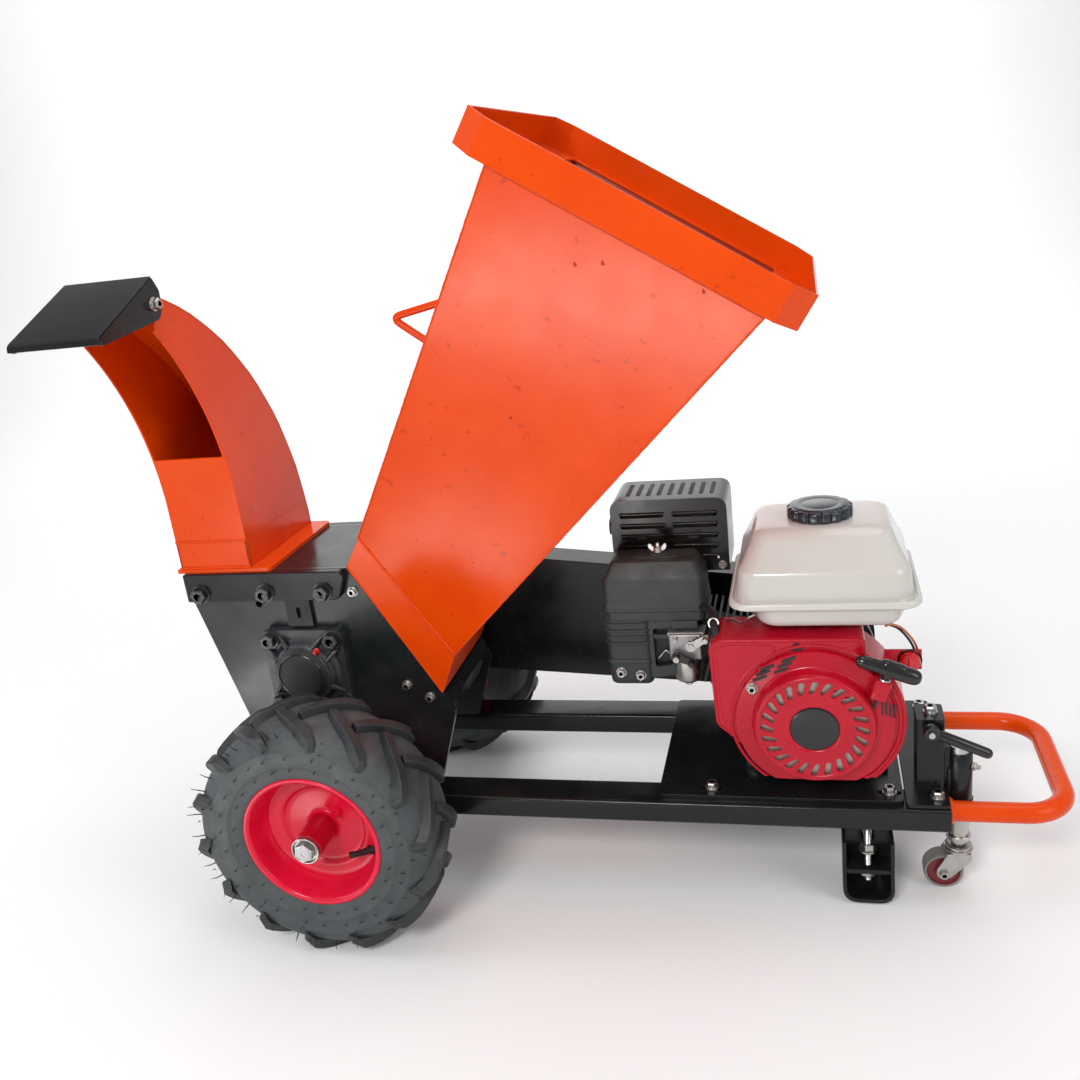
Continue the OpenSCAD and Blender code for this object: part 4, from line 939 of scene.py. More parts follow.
# Jockey: folded post, clamp sleeve, lever, stem, swivel fork and wheel
JOCKEY = (436.2, -81, 0)
CASTER = (418.2, -81, 24)
outer = [(385, -103), (417, -103), (417, -63), (385, -63), (385, -67), (413, -67), (413, -99), (385, -99)]
plate("post_fold", rounded(outer, [1, 5, 5, 1, 1, 2, 2, 1], 4), [], "xy", 146, 246, "chassis", "black",
      bevel=0.9, replaces="jockey_bracket", slot="black_paint")
plate("post_top", rounded([(385, -102.5), (409, -102.5), (416.5, -95), (416.5, -63.5), (385, -63.5)],
                          [1, 3, 3, 3, 1]), [circ(402, -83, 4.2, 20)], "xy", 242, 246.1, "chassis", "black",
      bevel=1.1, segs=3)
lathe("clamp_sleeve", [(12.2, 126), (14.6, 126), (15, 126.5), (15, 192.4), (14.6, 193), (12.2, 193)],
      JOCKEY, "Z", "chassis", "black", n=56, slot="black_paint")
box("sleeve_web", (421.2, -92, 123), (425.2, -52, 173), "chassis", "black", bevel=1.0)
box("sleeve_lug", (417, -89, 151), (424.6, -73, 201), "chassis", "black", bevel=1.0)
bolt((449.4, -88.5, 176), (0.9, -0.42, 0), 6, "chassis", "zinc", kind="nut", washer=False, tag="clamp_nut")
tube("sleeve_weld", [(436.2 + 15.2 * cosd(a), -81 + 15.2 * sind(a), 127) for a in range(0, 360, 12)],
     [1.5 + 0.3 * math.sin(k * 1.7) for k in range(30)], "chassis", "black", n=8, cyclic=True)
lathe("lever_pin", [(0, -124), (3.6, -124), (4, -123.4), (4, -103), (0, -103)], (400, 0, 236), "Y",
      "chassis", "zinc", n=24)
bm = lathe_bm([(4.2, -121), (8.2, -121), (9, -120.2), (9, -105.8), (8.2, -105), (4.2, -105)], (400, 0, 236),
              "Y", 40)
a = math.radians(24)
pts = [(400 + t * math.cos(a), -113, 236 - t * math.sin(a)) for t in (2, 10, 14, 40, 66, 68, 70.2, 72, 73.4,
        74.3)]
sweep_bm(pts, [5.4, 5.8, 6.5, 6.5, 6.5, 6.4, 6.0, 5.0, 3.4, 1.2], 28, bm=bm)
put("clamp_handle", mesh(bm, "clamp_handle", 0), "clamp_lever", "gloss_black", smooth=45,
    replaces="jockey_lever", slot="black_plastic")
lathe("jockey_stem", [(0, 61.3), (6, 61.3), (6, 64), (10, 64.4), (10, 70), (14.1, 70), (14.5, 70.5),
                      (14.5, 75.5), (14.1, 76), (12, 76), (12, 199), (11.4, 201), (0, 201)], JOCKEY, "Z",
      "jockey", "zinc", n=48, closed=False, replaces="jockey_post", slot="zinc_plate")
cup = [(6.2, 53.5), (17, 53.5), (17.4, 54.4), (17, 56.4), (15.4, 57.4), (16, 58.6), (15.4, 60.4),
       (13.6, 61), (6.2, 61)]
lathe("swivel_cup", cup, JOCKEY, "Z", "fork", "zinc", n=56, replaces="caster_fork", slot="zinc_plate")
plate("fork_crown", rounded([(422.2, -97.2), (450.2, -97.2), (450.2, -64.8), (422.2, -64.8)], 3), [], "xy",
      50, 53.5, "fork", "zinc", bevel=0.9)
leg = rounded([(422.2, 53), (450.2, 53), (450.2, 45), (427.4, 20), (418.2, 14.6), (409.6, 20), (409.6, 30)],
              [1, 2, 5, 6, 8, 8, 5], 6)
for s in (-1, 1):
    ys = sorted((-81 + s * 13.75, -81 + s * 16.25))
    plate("fork_leg_%d" % (s > 0), leg, [], "xz", ys[0], ys[1], "fork", "zinc", bevel=0.6)
    bolt((418.2, -81 + s * 16.25, 24), (0, s, 0), 6.5, "fork", "zinc", washer=False, kind="nut"
         if s > 0 else "bolt", tag="caster_bolt")
lathe("caster_pin", [(0, -99), (4, -99), (4, -63), (0, -63)], (418.2, 0, 24), "Y", "fork", "zinc", n=24)
lathe("caster_tyre", [(20, -10.6), (22.4, -10.8), (23.6, -9.4), (24, -7), (24, 7), (23.6, 9.4),
                      (22.4, 10.8), (20, 10.6)], CASTER, "Y", "caster", "tread", n=64,
      replaces="caster_wheel", slot="caster_red")
lathe("caster_hub", [(4.2, -12.3), (10.6, -12.3), (11.6, -9), (18.6, -8.6), (19.6, -10.8), (20.2, -10.8),
                     (20.2, 10.8), (19.6, 10.8), (18.6, 8.6), (11.6, 9), (10.6, 12.3), (4.2, 12.3)], CASTER,
      "Y", "caster", "caster", n=64)

# Parking stand: pressed foot on a threaded stud with lock nuts
STUD = (326, -115, 0)
thread = []
z = 26.8
while z < 110:
    thread += [(5, z), (4.4, z + 0.75)]
    z += 1.5
lathe("stand_thread", [(0, 26), (4.4, 26)] + thread + [(4.4, 111), (0, 111)], STUD, "Z", "chassis", "zinc",
      n=28, smooth=20, closed=False, replaces="stand_stud", slot="zinc_plate")
for z0, z1 in ((33, 42), (71, 80)):
    rings = [[(326 + 9.8 * k * cosd(60 * i + z0), -115 + 9.8 * k * sind(60 * i + z0), zz)
              for i in range(6)] for k, zz in ((0.92, z0), (1, z0 + 0.9), (1, z1 - 0.9), (0.92, z1))]
    put("stand_nut_%d" % z0, mesh(loft_bm(rings), "stand_nut"), "chassis", "zinc", bevel=0.0004)
for z0, t in ((42, 1.7), (69, 1.9), (108, 2.9)):
    lathe("stand_washer_%d" % z0, [(5.1, z0), (10.8, z0), (11, z0 + 0.3), (11, z0 + t - 0.3),
                                   (10.8, z0 + t), (5.1, z0 + t)], STUD, "Z", "chassis", "zinc", n=40)
u_out = rounded([(295, 90), (295, 2), (357, 2), (357, 90)], [0, 20, 20, 0], 10)
u_in = rounded([(300, 90), (300, 7), (352, 7), (352, 90)], [0, 15, 15, 0], 10)
plate("foot_wall", u_out + u_in[::-1], [], "xz", -133, -98, "foot", "black", bevel=1.3, segs=4,
      replaces="stand_foot", slot="black_paint")
plate("foot_back", rounded([(295.4, 90), (295.4, 2.4), (356.6, 2.4), (356.6, 90)], [3, 20, 20, 3], 10), [],
      "xz", -100.6, -97, "foot", "black", bevel=0.9)
plate("foot_tab", [(299.5, -131), (352.5, -131), (352.5, -99), (299.5, -99)], [circ(326, -115, 5.2, 24)],
      "xy", 44, 50, "foot", "black", bevel=0.9)

# ---------------------------------------------------------------- belt guard
CRX, CRZ = 267, 253


def drive_loop(r1, r2, n1=48, n2=40):
    """Outline round both pulleys."""
    ang = math.atan2(CRZ - RZ, CRX - RX)
    ln = math.hypot(CRX - RX, CRZ - RZ)
    b = math.acos((r1 - r2) / ln)
    out = []
    for cx, cz, r, a0, a1, n in ((RX, RZ, r1, b, 2 * math.pi - b, n1), (CRX, CRZ, r2, -b, b, n2)):
        out += [(cx + r * math.cos(ang + a0 + (a1 - a0) * i / n), cz
                 + r * math.sin(ang + a0 + (a1 - a0) * i / n)) for i in range(n + 1)]
    return out


plate("guard_cover", drive_loop(98, 84), [], "xz", 167.5, 170, "chassis", "black", bevel=1.0, segs=3,
      replaces="belt_guard", slot="black_paint")
plate("guard_back", drive_loop(96, 82), [circ(RX, RZ, 43, 40), circ(CRX, CRZ, 38, 40)], "xz", 121, 123.5,
      "chassis", "black", bevel=0.8)
plate("guard_wall", drive_loop(98, 84), [drive_loop(95.5, 81.5)], "xz", 121.4, 168.5, "chassis", "black",
      bevel=0.5)
for z in (262, 330):
    box("guard_arm_%d" % z, (-322, 92, z), (-306, 122, z + 20), "chassis", "black")
for x in (176, 300):
    plate("guard_foot_%d" % x, rounded([(96, 147), (121, 147), (121, 213), (117, 213), (117, 152),
                                        (96, 152)], [1, 4, 1, 1, 3, 1]), [], "yz", x, x + 24, "chassis",
          "black", bevel=0.8)
    bolt((x + 12, 103, 152), (0, 0, 1), 7, "chassis", "zinc", tag="guard_bolt")
for t in (0.12, 0.5, 0.88):
    x = RX + (CRX - RX) * t
    z = RZ + (CRZ - RZ) * t
    bolt((x, 170, z), (0, 1, 0), 7, "chassis", "zinc", tag="guard_screw")
# Vents are gloss black strips on the cover, not cut through: painted shade where the openings would be.
for k in range(9):
    x = RX - 44 + k * 11
    h = 34 * math.sqrt(max(0.05, 1 - ((k - 4) / 5) ** 2))
    plate("guard_vent_%d" % k, rounded([(x - 3, RZ - h), (x + 3, RZ - h), (x + 3, RZ + h), (x - 3, RZ + h)],
                                       2.8), [], "xz", 169.4, 170.5, "chassis", "gloss_black", bevel=0.4)

# ---------------------------------------------------------------- engine block
for node, key in (("crankcase", "cast"), ("engine_barrel", "dark_alu"), ("crankshaft", "steel"),
                  ("flywheel", "alu"), ("rotor_drum", "cast"), ("rotor_knives", "steel"),
                  ("rotor_shaft", "steel"), ("anvil", "steel"), ("rotor_pulley", "cast"),
                  ("engine_pulley", "cast"), ("drive_belts", "rubber"), ("chamber_shell", "plate"),
                  ("muffler", "muffler")):
    repaint(node, key)

# ---------------------------------------------------------------- fuel tank
def slab(x0, x1, y0, y1, r, z, n=8):
    """Ring of a rounded block, from its edges."""
    return rr((x0 + x1) / 2, (y0 + y1) / 2, x1 - x0, y1 - y0, r, z, n)


def tank_ring(i, z, front=0.0, r=24.0):
    """Ring of the fuel tank, i inside its flange."""
    return slab(172 + i, 392 - i, -115 + i + front, 75 - i, r, z)


loft("tank_flange", [tank_ring(*row) for row in ((6, 393.2), (1.4, 393.4), (0.3, 394.4), (0, 396),
                                                 (0, 400.2), (0.6, 401.6), (2, 402.4), (3.8, 402.2),
                                                 (5, 401), (6.4, 399.4), (9.6, 399.2))], "chassis", "white",
     smooth=55, replaces="fuel_tank", slot="white_paint")
up = [tank_ring(*row) for row in ((7, 399, 0, 25), (8, 400.6, 0, 25), (8.6, 404, 0, 25), (11, 430, 0, 24),
                                  (12, 434.4, 0, 23.4), (13.6, 437.6, 0.6, 23), (16, 441, 2, 22.4),
                                  (27, 464.6, 8.6, 20), (28.4, 468.6, 10.2, 19.6), (30.6, 472.4, 11.6, 19),
                                  (34, 475.6, 12.6, 18.6), (38.6, 477.6, 13, 18), (46, 478.9, 13, 17))]
loft("tank_upper", up, "chassis", "white", smooth=60, slot="white_paint")
tub = [slab(*row) for row in ((214, 360, -100, 58, 18, 369.4), (209, 365, -104, 62, 21, 370.4),
                              (205.6, 368.4, -106, 64, 22, 373), (203, 371, -107.4, 65.4, 23, 378),
                              (199, 375, -109.4, 67.4, 24, 390), (196, 378, -111, 69, 25, 393.6))]
loft("tank_tub", tub, "chassis", "white", smooth=55, slot="white_paint")
box("tank_strap", (213, -60, 367.6), (363, -44, 370), "chassis", "gloss_black", bevel=0.8)

CAPX, CAPY, CAPZ = 281, -18, 479.3
rings = []
for k, z, depth in ((0.965, 0.2, 0.4), (0.995, 0.9, 0.9), (1.0, 2.2, 1.0), (1.0, 10.2, 1.0),
                    (0.985, 11.8, 1.0), (0.95, 12.9, 0.7), (0.90, 13.4, 0.25), (0.84, 13.5, 0.0)):
    ring = []
    for i in range(240):
        a = 2 * math.pi * i / 240
        w = max(0.0, math.cos(a * 16)) ** 1.5
        r = 39 * k - 3.2 * depth * w
        ring.append((CAPX + r * math.cos(a), CAPY + r * math.sin(a), CAPZ + z))
    rings.append(ring)
loft("tank_cap_skirt", rings, "filler_cap", "cap", smooth=40, replaces="tank_cap", slot="black_plastic")
lathe("tank_cap_top", [(0, 13.2), (33, 13.2), (33, 13.9), (32.2, 14.5), (24, 14.5), (22.6, 14.1),
                       (21, 14.1), (20, 14.5), (0, 14.5)], (CAPX, CAPY, CAPZ), "Z", "filler_cap", "cap",
      n=72, closed=False)
lathe("tank_gasket", [(24, 478.6), (37.6, 478.6), (38.2, 479.0), (37.6, 479.4), (24, 479.4)],
      (CAPX, CAPY, 0), "Z", "chassis", "tread", n=72)

# ---------------------------------------------------------------- air cleaner
lid = [slab(*row) for row in ((4.4, 138, -35, 36, 9, 360.4), (3.4, 138.8, -35.8, 36.8, 9.4, 361.4),
                              (3.4, 138.8, -35.8, 36.8, 9.4, 364.4), (4, 138, -35, 36, 9, 365.2),
                              (4.4, 137.8, -34.8, 35.8, 9, 374), (5.2, 137, -34, 35, 9, 375),
                              (5.4, 136.8, -33.8, 35, 9, 402), (6, 136.2, -33.2, 34.4, 8.6, 405),
                              (7.4, 135, -32, 33.4, 8, 407.4), (15, 127.4, -23.6, 26, 7, 421.6),
                              (16.8, 125.6, -21.8, 24.4, 6.4, 424.2), (19.4, 123, -19.4, 22, 6, 425.6),
                              (24, 118, -15, 17.6, 5, 426))]
loft("cleaner_lid", lid, "chassis", "plastic", smooth=24, replaces="air_cleaner_cover", slot="black_plastic")
loft("cleaner_boss", [rr(*row) for row in ((72, 1, 62, 27, 13, 425.4), (72, 1, 61, 26.4, 13, 427),
                                           (72, 1, 58, 24, 12, 428), (72, 1, 40, 14, 7, 428.2))], "chassis",
     "plastic", smooth=30)
loft("cleaner_boss_ring", [rr(*row) for row in ((77, 0, 28, 20, 10, 427), (77, 0, 27, 19, 9.5, 429.4),
                                                (77, 0, 24, 16, 8, 430), (77, 0, 14, 12, 6, 430))],
     "chassis", "plastic", smooth=30)
loft("cleaner_seam", [slab(5.4, 136.8, -33.8, 34.8, 9, 358.6), slab(5.4, 136.8, -33.8, 34.8, 9, 360.8)],
     "chassis", "rubber")
base = [slab(*row) for row in ((8.4, 134, -31, 32, 8, 346), (6.8, 135.6, -32.6, 33.6, 9, 347),
                               (6.4, 136, -33, 34, 9, 349), (6.4, 136, -33, 34, 9, 356.4),
                               (5.4, 137, -34, 35, 9.4, 357), (5.4, 137, -34, 35, 9.4, 359.2),
                               (6.8, 135.6, -32.6, 33.6, 9, 360))]
loft("cleaner_base", base, "chassis", "plastic", smooth=30, replaces="air_cleaner_base", slot="black_plastic")
sn = [slab(*row) for row in ((8, 58, -26, 26, 6, 253), (5, 61, -29, 29, 8, 256), (4, 62, -30, 30, 9, 262),
                             (3.4, 62, -30, 30, 9, 300), (4, 62, -30, 30, 9, 347))]
loft("snorkel", sn, "chassis", "plastic", smooth=40, slot="black_plastic")
for z in (312, 321, 330, 339):
    loft("snorkel_rib_%d" % z, [slab(*row) for row in ((3, 63, -31, 31, 9, z),
                                                       (1.8, 64, -32.2, 32.2, 10, z + 1),
                                                       (1.8, 64, -32.2, 32.2, 10, z + 3),
                                                       (3, 63, -31, 31, 9, z + 4))], "chassis", "plastic",
         smooth=35)
loft("snorkel_band", [slab(*row) for row in ((2.6, 63, -31, 31, 9, 284), (2.2, 63.4, -31.4, 31.4, 9, 285),
                                             (2.2, 63.4, -31.4, 31.4, 9, 289), (2.6, 63, -31, 31, 9, 290))],
     "chassis", "plastic", smooth=35)
plate("intake_frame", rounded([(60, 262), (98, 268), (98, 347), (60, 347)], [3, 8, 3, 3]),
      [rounded([(66, 278), (93, 282), (93, 334), (66, 334)], [4, 8, 5, 4])], "xz", -28, -22, "chassis",
      "plastic", bevel=1.4, segs=3)
plate("intake_box", rounded([(60, 264), (97, 270), (97, 346), (60, 346)], [3, 8, 3, 3]), [], "xz", -17, 22,
      "chassis", "rubber", bevel=1.2)
plate("intake_step", rounded([(64, 318), (94, 318), (94, 324), (64, 324)], 2), [], "xz", -26, -16,
      "chassis", "plastic", bevel=0.9)
tube("intake_link", spline([(70, -21, 288), (80, -23, 300), (86, -25, 296), (96, -44, 300)], 6), 1.6,
     "chassis", "zinc", n=10)
plate("cleaner_clip", rounded([(92, 336), (126, 336), (126, 347), (92, 347)], 3), [], "xz", -35, -31,
      "chassis", "plastic", bevel=0.9)
for x, z in ((20, 272), (46, 268)):
    bolt((x, -30, z), (0, -1, 0), 6.5, "chassis", "zinc", tag="snorkel_bolt")
lathe("wing_nut_hub", [(0, 430.4), (6, 430.4), (6.4, 431), (5, 437.6), (4.4, 438), (0, 438)], (77, 0, 0),
      "Z", "cleaner_nut", "zinc", n=32, replaces="wing_nut", slot="zinc_plate", closed=False)
for s in (-1, 1):
    w = [(77 + s * a, b) for a, b in ((4, 431.4), (7, 431.8), (10.4, 434.6), (12, 438), (11.8, 441),
                                      (10, 442.4), (7.8, 441), (6, 438), (4, 436.6))]
    plate("wing_nut_ear_%d" % (s > 0), rounded(w, 1.6, 3), [], "xz", -1.5, 1.5, "cleaner_nut", "zinc",
          bevel=0.6)
lathe("cleaner_stud", [(0, 430)] + [(2.9 - 0.3 * (i % 2), 430 + i * 0.6) for i in range(23)] + [(0, 443.6)],
      (77, 0, 0), "Z", "chassis", "zinc", n=20, smooth=20, closed=False)

# ---------------------------------------------------------------- carburettor and its levers
box("carb_body", (88, -44, 296), (130, -12, 332), "chassis", "alu", bevel=3, segs=4, replaces="carburettor",
    slot="cast_aluminium")
lathe("carb_bowl", [(0, 262), (13, 262), (15.4, 263.4), (16.6, 266), (17, 290), (18.4, 291), (18.4, 295),
                    (17, 296.4), (0, 296.4)], (109, -29, 0), "Z", "chassis", "zinc", n=48, closed=False)
bolt((109, -29, 262), (0, 0, -1), 6, "chassis", "zinc", tag="bowl_bolt")
box("carb_insulator", (92, -13, 300), (126, -6, 328), "chassis", "rubber", bevel=1)
box("carb_flange", (86, -40, 328), (134, -14, 333), "chassis", "alu", bevel=1.4)
for x in (96, 122):
    bolt((x, -44, 326), (0, -1, 0), 4, "chassis", "zinc", tag="carb_screw")
tube("throttle_shaft", [(118, y, 322) for y in (-61, -50, -42)], 3.9, "chassis", "zinc", n=20)
tube("choke_shaft", [(98, y, 304) for y in (-61, -50, -42)], 3.9, "chassis", "zinc", n=20)


def lever(name, body, node, x, z, y0, ln, a, mat, slot):
    """Carburettor lever with a knob at its tip."""
    c, sn_ = cosd(a), sind(a)
    out = [(7 * cosd(t), 7 * sind(t)) for t in range(50, 311, 20)]
    out += [(ln + 4.6 * cosd(t), 4.6 * sind(t)) for t in range(-90, 91, 20)]
    out = [(x + p * c - q * sn_, z + p * sn_ + q * c) for p, q in out]
    plate(name, out, [circ(x, z, 4.15, 20)], "xz", y0, y0 + 4, body, mat, bevel=0.6, replaces=node, slot=slot)
    px, pz = x + ln * c, z + ln * sn_
    lathe(name + "_knob", [(0, y0 - 8), (3.4, y0 - 8), (4, y0 - 7), (4, y0 + 0.5), (0, y0 + 0.5)],
          (px, 0, pz), "Y", body, mat, n=24, closed=False)


lever("throttle_arm", "throttle", "throttle_lever", 118, 322, -59.5, 22, 30, "zinc", "zinc_plate")
lever("choke_arm", "choke", "choke_lever", 98, 304, -53.5, 20, -20, "gloss_black", "black_plastic")
tube("governor_rod", spline([(150, -56, 352), (170, -70, 364), (186, -96, 371), (196, -108, 384),
                             (202, -106, 386)], 6), 1.4, "chassis", "zinc", n=10)
tube("breather_hose", spline([(124, -20, 352), (134, -34, 366), (146, -60, 372), (152, -86, 364),
                              (156, -100, 350), (160, -104, 342), (164, -104, 330)], 8), 5.2, "chassis",
     "rubber", n=20)
for p in ((151, -84, 365.4), (158, -102.6, 346)):
    bm = lathe_bm([(5.2, -2), (6.6, -2), (6.9, -1.4), (6.9, 1.4), (6.6, 2), (5.2, 2)], (0, 0, 0), "Y", 28)
    o = put("hose_clip_%d" % p[0], mesh(bm, "hose_clip"), "chassis", "zinc",
            matrix=Matrix.Translation(Vector(p) * MM) @ Matrix.Rotation(math.radians(-35), 4, "X"), smooth=40)

# ---------------------------------------------------------------- muffler guard
GX0, GX1, GY0, GY1, GZ0, GZ1 = 11, 165, 38, 128, 388, 489
gl = rounded([(GX0, GZ0), (GX1, GZ0), (GX1, GZ1), (GX0, GZ1)], [2, 2, 16, 16], 8)
VENTS = [(x, z) for z in (404, 419, 434, 449, 464) for x in (24, 94)]
louvres = [rounded([(x, z), (x + 58, z), (x + 58, z + 5), (x, z + 5)], 2.4, 4) for x, z in VENTS]
plate("guard_front", gl, louvres, "xz", GY0, GY0 + 2.5, "chassis", "guard", bevel=0.8,
      replaces="muffler_guard", slot="black_paint")
plate("guard_rear", gl, [], "xz", GY1 - 2.5, GY1, "chassis", "guard", bevel=0.8)
outer = rounded([(GX0, GZ0), (GX0, GZ1), (GX1, GZ1), (GX1, GZ0)], [0, 16, 16, 0], 8)
inner = rounded([(GX0 + 2.5, GZ0), (GX0 + 2.5, GZ1 - 2.5), (GX1 - 2.5, GZ1 - 2.5), (GX1 - 2.5, GZ0)],
                [0, 13.5, 13.5, 0], 8)
plate("guard_wrap", outer + inner[::-1], [], "xz", GY0 + 1.2, GY1 - 1.2, "chassis", "guard", bevel=0.4)
for x, z in VENTS:
    plate("guard_hood_%d_%d" % (z, x), rounded([(x - 1, z + 4.4), (x + 59, z + 4.4), (x + 59, z + 7.4),
                                                (x - 1, z + 7.4)], 1.4, 4), [], "xz", GY0 - 2.6, GY0 + 0.6,
          "chassis", "guard", bevel=1.1, segs=3)
# Top slots are black strips flush with the guard, not cut through: painted shade where the openings would be.
for i, x in enumerate(range(30, 143, 14)):
    plate("guard_top_slot_%d" % i, rounded([(x, 58), (x + 6, 58), (x + 6, 110), (x, 110)], 2.9, 4), [],
          "xy", GZ1 - 0.4, GZ1 + 0.4, "chassis", "rubber", bevel=0.2)
for x in (20, 156):
    bolt((x, GY0, 396), (0, -1, 0), 5, "chassis", "zinc", tag="muffler_bolt")

# ---------------------------------------------------------------- fan shroud and starter
def flat_below(bm):
    """Cuts the round starter pieces off level with the shroud's flat underside."""
    z = (CRZ - 78.6) * MM
    cutr = bmesh.ops.bisect_plane(bm, geom=bm.verts[:] + bm.edges[:] + bm.faces[:], plane_co=(0, 0, z),
                                  plane_no=(0, 0, -1), clear_outer=True)
    bmesh.ops.holes_fill(bm, edges=[e for e in cutr["geom_cut"] if isinstance(e, bmesh.types.BMEdge)],
                         sides=0)
    return bm


def shroud(t):
    """Outline of the fan shroud, t inside its edge."""
    cr = 106 - t
    pts = [(-121 + t, 96 - t), (-109 + t, 107 - t), (60 - t, 107 - t)]
    a0 = math.degrees(math.acos((60 - t) / cr))
    pts += [(cr * cosd(a), cr * sind(a)) for a in
            [a0 + (-math.degrees(math.asin((79 - t) / cr)) - a0) * i / 30 for i in range(31)]]
    pts += [(-41 + t, -79 + t), (-117 + t, -8)]
    pts = rounded(pts, [12, 12, 6] + [0] * 31 + [8, 14], 6)
    return [(CRX + a, CRZ + b) for a, b in pts]


plate("shroud_face", shroud(0.6), [circ(CRX, CRZ, 72, 96)], "xz", -118, -115, "chassis", "crimson",
      bevel=1.2, segs=4, replaces="fan_shroud", slot="crimson_paint")
plate("shroud_wall", shroud(0), [shroud(2.5)], "xz", -116.6, -52, "chassis", "crimson", bevel=0.9, segs=3,
      slot="crimson_paint")
# Rolled bead round the face and a raised left panel
loop = [(a, -117.4, b) for a, b in shroud(2.6)]
tube("shroud_bead", loop, 1.9, "chassis", "crimson", n=12, cyclic=True)
ring = [(96.4, -118.8), (97.4, -119.8), (99.4, -119.8), (100.4, -118.8), (100.4, -117.4), (96.4, -117.4)]
put("shroud_ring", mesh(flat_below(lathe_bm(ring, (CRX, 0, CRZ), "Y", 128)), "shroud_ring"), "chassis",
    "crimson", smooth=40)
plate("shroud_panel", [(CRX + a, CRZ + b) for a, b in rounded([(-112, 90), (-102, 99), (-40, 99), (-52, 76),
                                                               (-80, 48), (-92, 20), (-96, -6), (-108, -4)],
                                                              [8, 8, 5, 12, 12, 12, 4, 8], 6)], [], "xz",
      -119.2, -117.6, "chassis", "crimson", bevel=1.2, segs=3)
bolt((340.5, -124.6, 296), (0, -1, 0), 6.4, "chassis", "zinc", tag="shroud_bolt")
# The hole is a black disc inside a lip: the disc is painted shade in the hole.
lathe("shroud_hole_shade", [(0, -118.3), (5, -118.3), (6.2, -119), (6.6, -118.4), (6.4, -117.6)], (250, 0, 348),
      "Y", "chassis", "rubber", n=28, closed=False)
# Slanted louvres on the shroud: a gloss black plate over a slightly larger crimson lip. The black plate is
# painted shade standing for the opening.
for i, (x0, z0) in enumerate(((-52, 73), (-57, 66), (-61, 59))):
    for j in range(2):
        x, z = CRX + x0 + j * 25, CRZ + z0 + j * 10.5
        for name, mat, grow, y in (("slot", "gloss_black", 0, -124.9), ("lip", "crimson", 1.3, -123.9)):
            out = [(x + p * 0.92 - q * 0.39, z + p * 0.39 + q * 0.92) for p,
                   q in rounded([(-9 - grow, -2 - grow), (9 + grow, -2 - grow), (9 + grow, 2 + grow),
                                 (-9 - grow, 2 + grow)], 2, 4)]
            if math.hypot(x - CRX, z - CRZ) < 95:
                plate("starter_%s_%d%d" % (name, i, j), out, [], "xz", y - 0.6, y + 1.2, "chassis", mat,
                      bevel=0.5)
for i in range(4):
    x, z = CRX + 77 + i * 4.4, CRZ + 20 - i * 1.5
    plate("starter_rib_%d" % i, rounded([(x, z - 8), (x + 1.9, z - 8), (x + 1.9, z + 9), (x, z + 9)], 0.8,
                                        3), [], "xz", -125.6, -122.6, "chassis", "gloss_black", bevel=0.3)
box("switch_bracket", (CRX + 84, -58, CRZ + 37), (CRX + 128, -54, CRZ + 63), "chassis", "crimson", bevel=1)

# Starter cover: raised dish with slanted slots; the metal screen behind them shows through
slots = []
for i in range(24):
    a0 = math.radians(i * 15)
    cx, cz = CRX + 54.5 * math.cos(a0), CRZ - 54.5 * math.sin(a0)
    d = a0 + math.radians(24)
    ux, uz = math.cos(d), -math.sin(d)
    lp = circ(6, 0, 3.7, 8, -math.pi / 2, math.pi / 2, False) + circ(-5.6, 0, 2.9, 8, math.pi / 2,
            1.5 * math.pi, False)
    slots.append([(cx + p * ux - q * uz, cz + p * uz + q * ux) for p, q in lp])
plate("starter_face", circ(CRX, CRZ, 66.5, 144), [circ(CRX, CRZ, 30, 64)] + slots, "xz", -142, -138.6,
      "chassis", "crimson", bevel=0.9, segs=3, replaces="recoil_cover", slot="crimson_paint")
side = [(66, -138.6), (66.2, -141.2), (67.4, -142.4), (69, -142), (70.2, -140), (71, -134), (72, -128),
        (73.6, -126), (76, -125.2), (90, -124.4), (92.4, -123.6), (93, -121.6), (93, -118.4), (89, -118.4),
        (88, -121), (74, -122), (68.4, -125), (66, -134)]
put("starter_skirt", mesh(flat_below(lathe_bm(side, (CRX, 0, CRZ), "Y", 144)), "starter_skirt"), "chassis",
    "crimson", smooth=40, slot="crimson_paint")
lathe("starter_edge", [(62.6, -141.8), (63.6, -143), (66, -143.4), (68.4, -142.6), (69, -141.4)],
      (CRX, 0, CRZ), "Y", "chassis", "crimson", n=128, smooth=60)
lathe("starter_step", [(28.6, -140.4), (30, -142.3), (33.6, -142.7), (36.4, -142.2), (37, -140.6)],
      (CRX, 0, CRZ), "Y", "chassis", "crimson", n=96, smooth=50)
lathe("starter_screen", [(0, -134), (66, -134), (66, -136.4), (0, -136.4)], (CRX, 0, CRZ), "Y", "chassis",
      "screen", n=96)
lathe("starter_disc", [(0, -141.6), (26.4, -141.6), (28, -141), (28.4, -139.4), (28.4, -137), (0, -137)],
      (CRX, 0, CRZ), "Y", "chassis", "gloss_black", n=72, closed=False)
bolt((CRX - 71, -124.8, CRZ + 46), (0, -1, 0), 6.4, "chassis", "zinc", tag="starter_bolt")

# Rope guide, rope and grip in their own tilted frame
GR = Matrix.Translation(Vector((CRX, 0, CRZ)) * MM) @ Matrix.Rotation(math.radians(19.4), 4, "Y")


def tilted(bm):
    """Moves a mesh into the tilted frame of the rope."""
    bmesh.ops.transform(bm, matrix=GR, verts=bm.verts)
    return bm


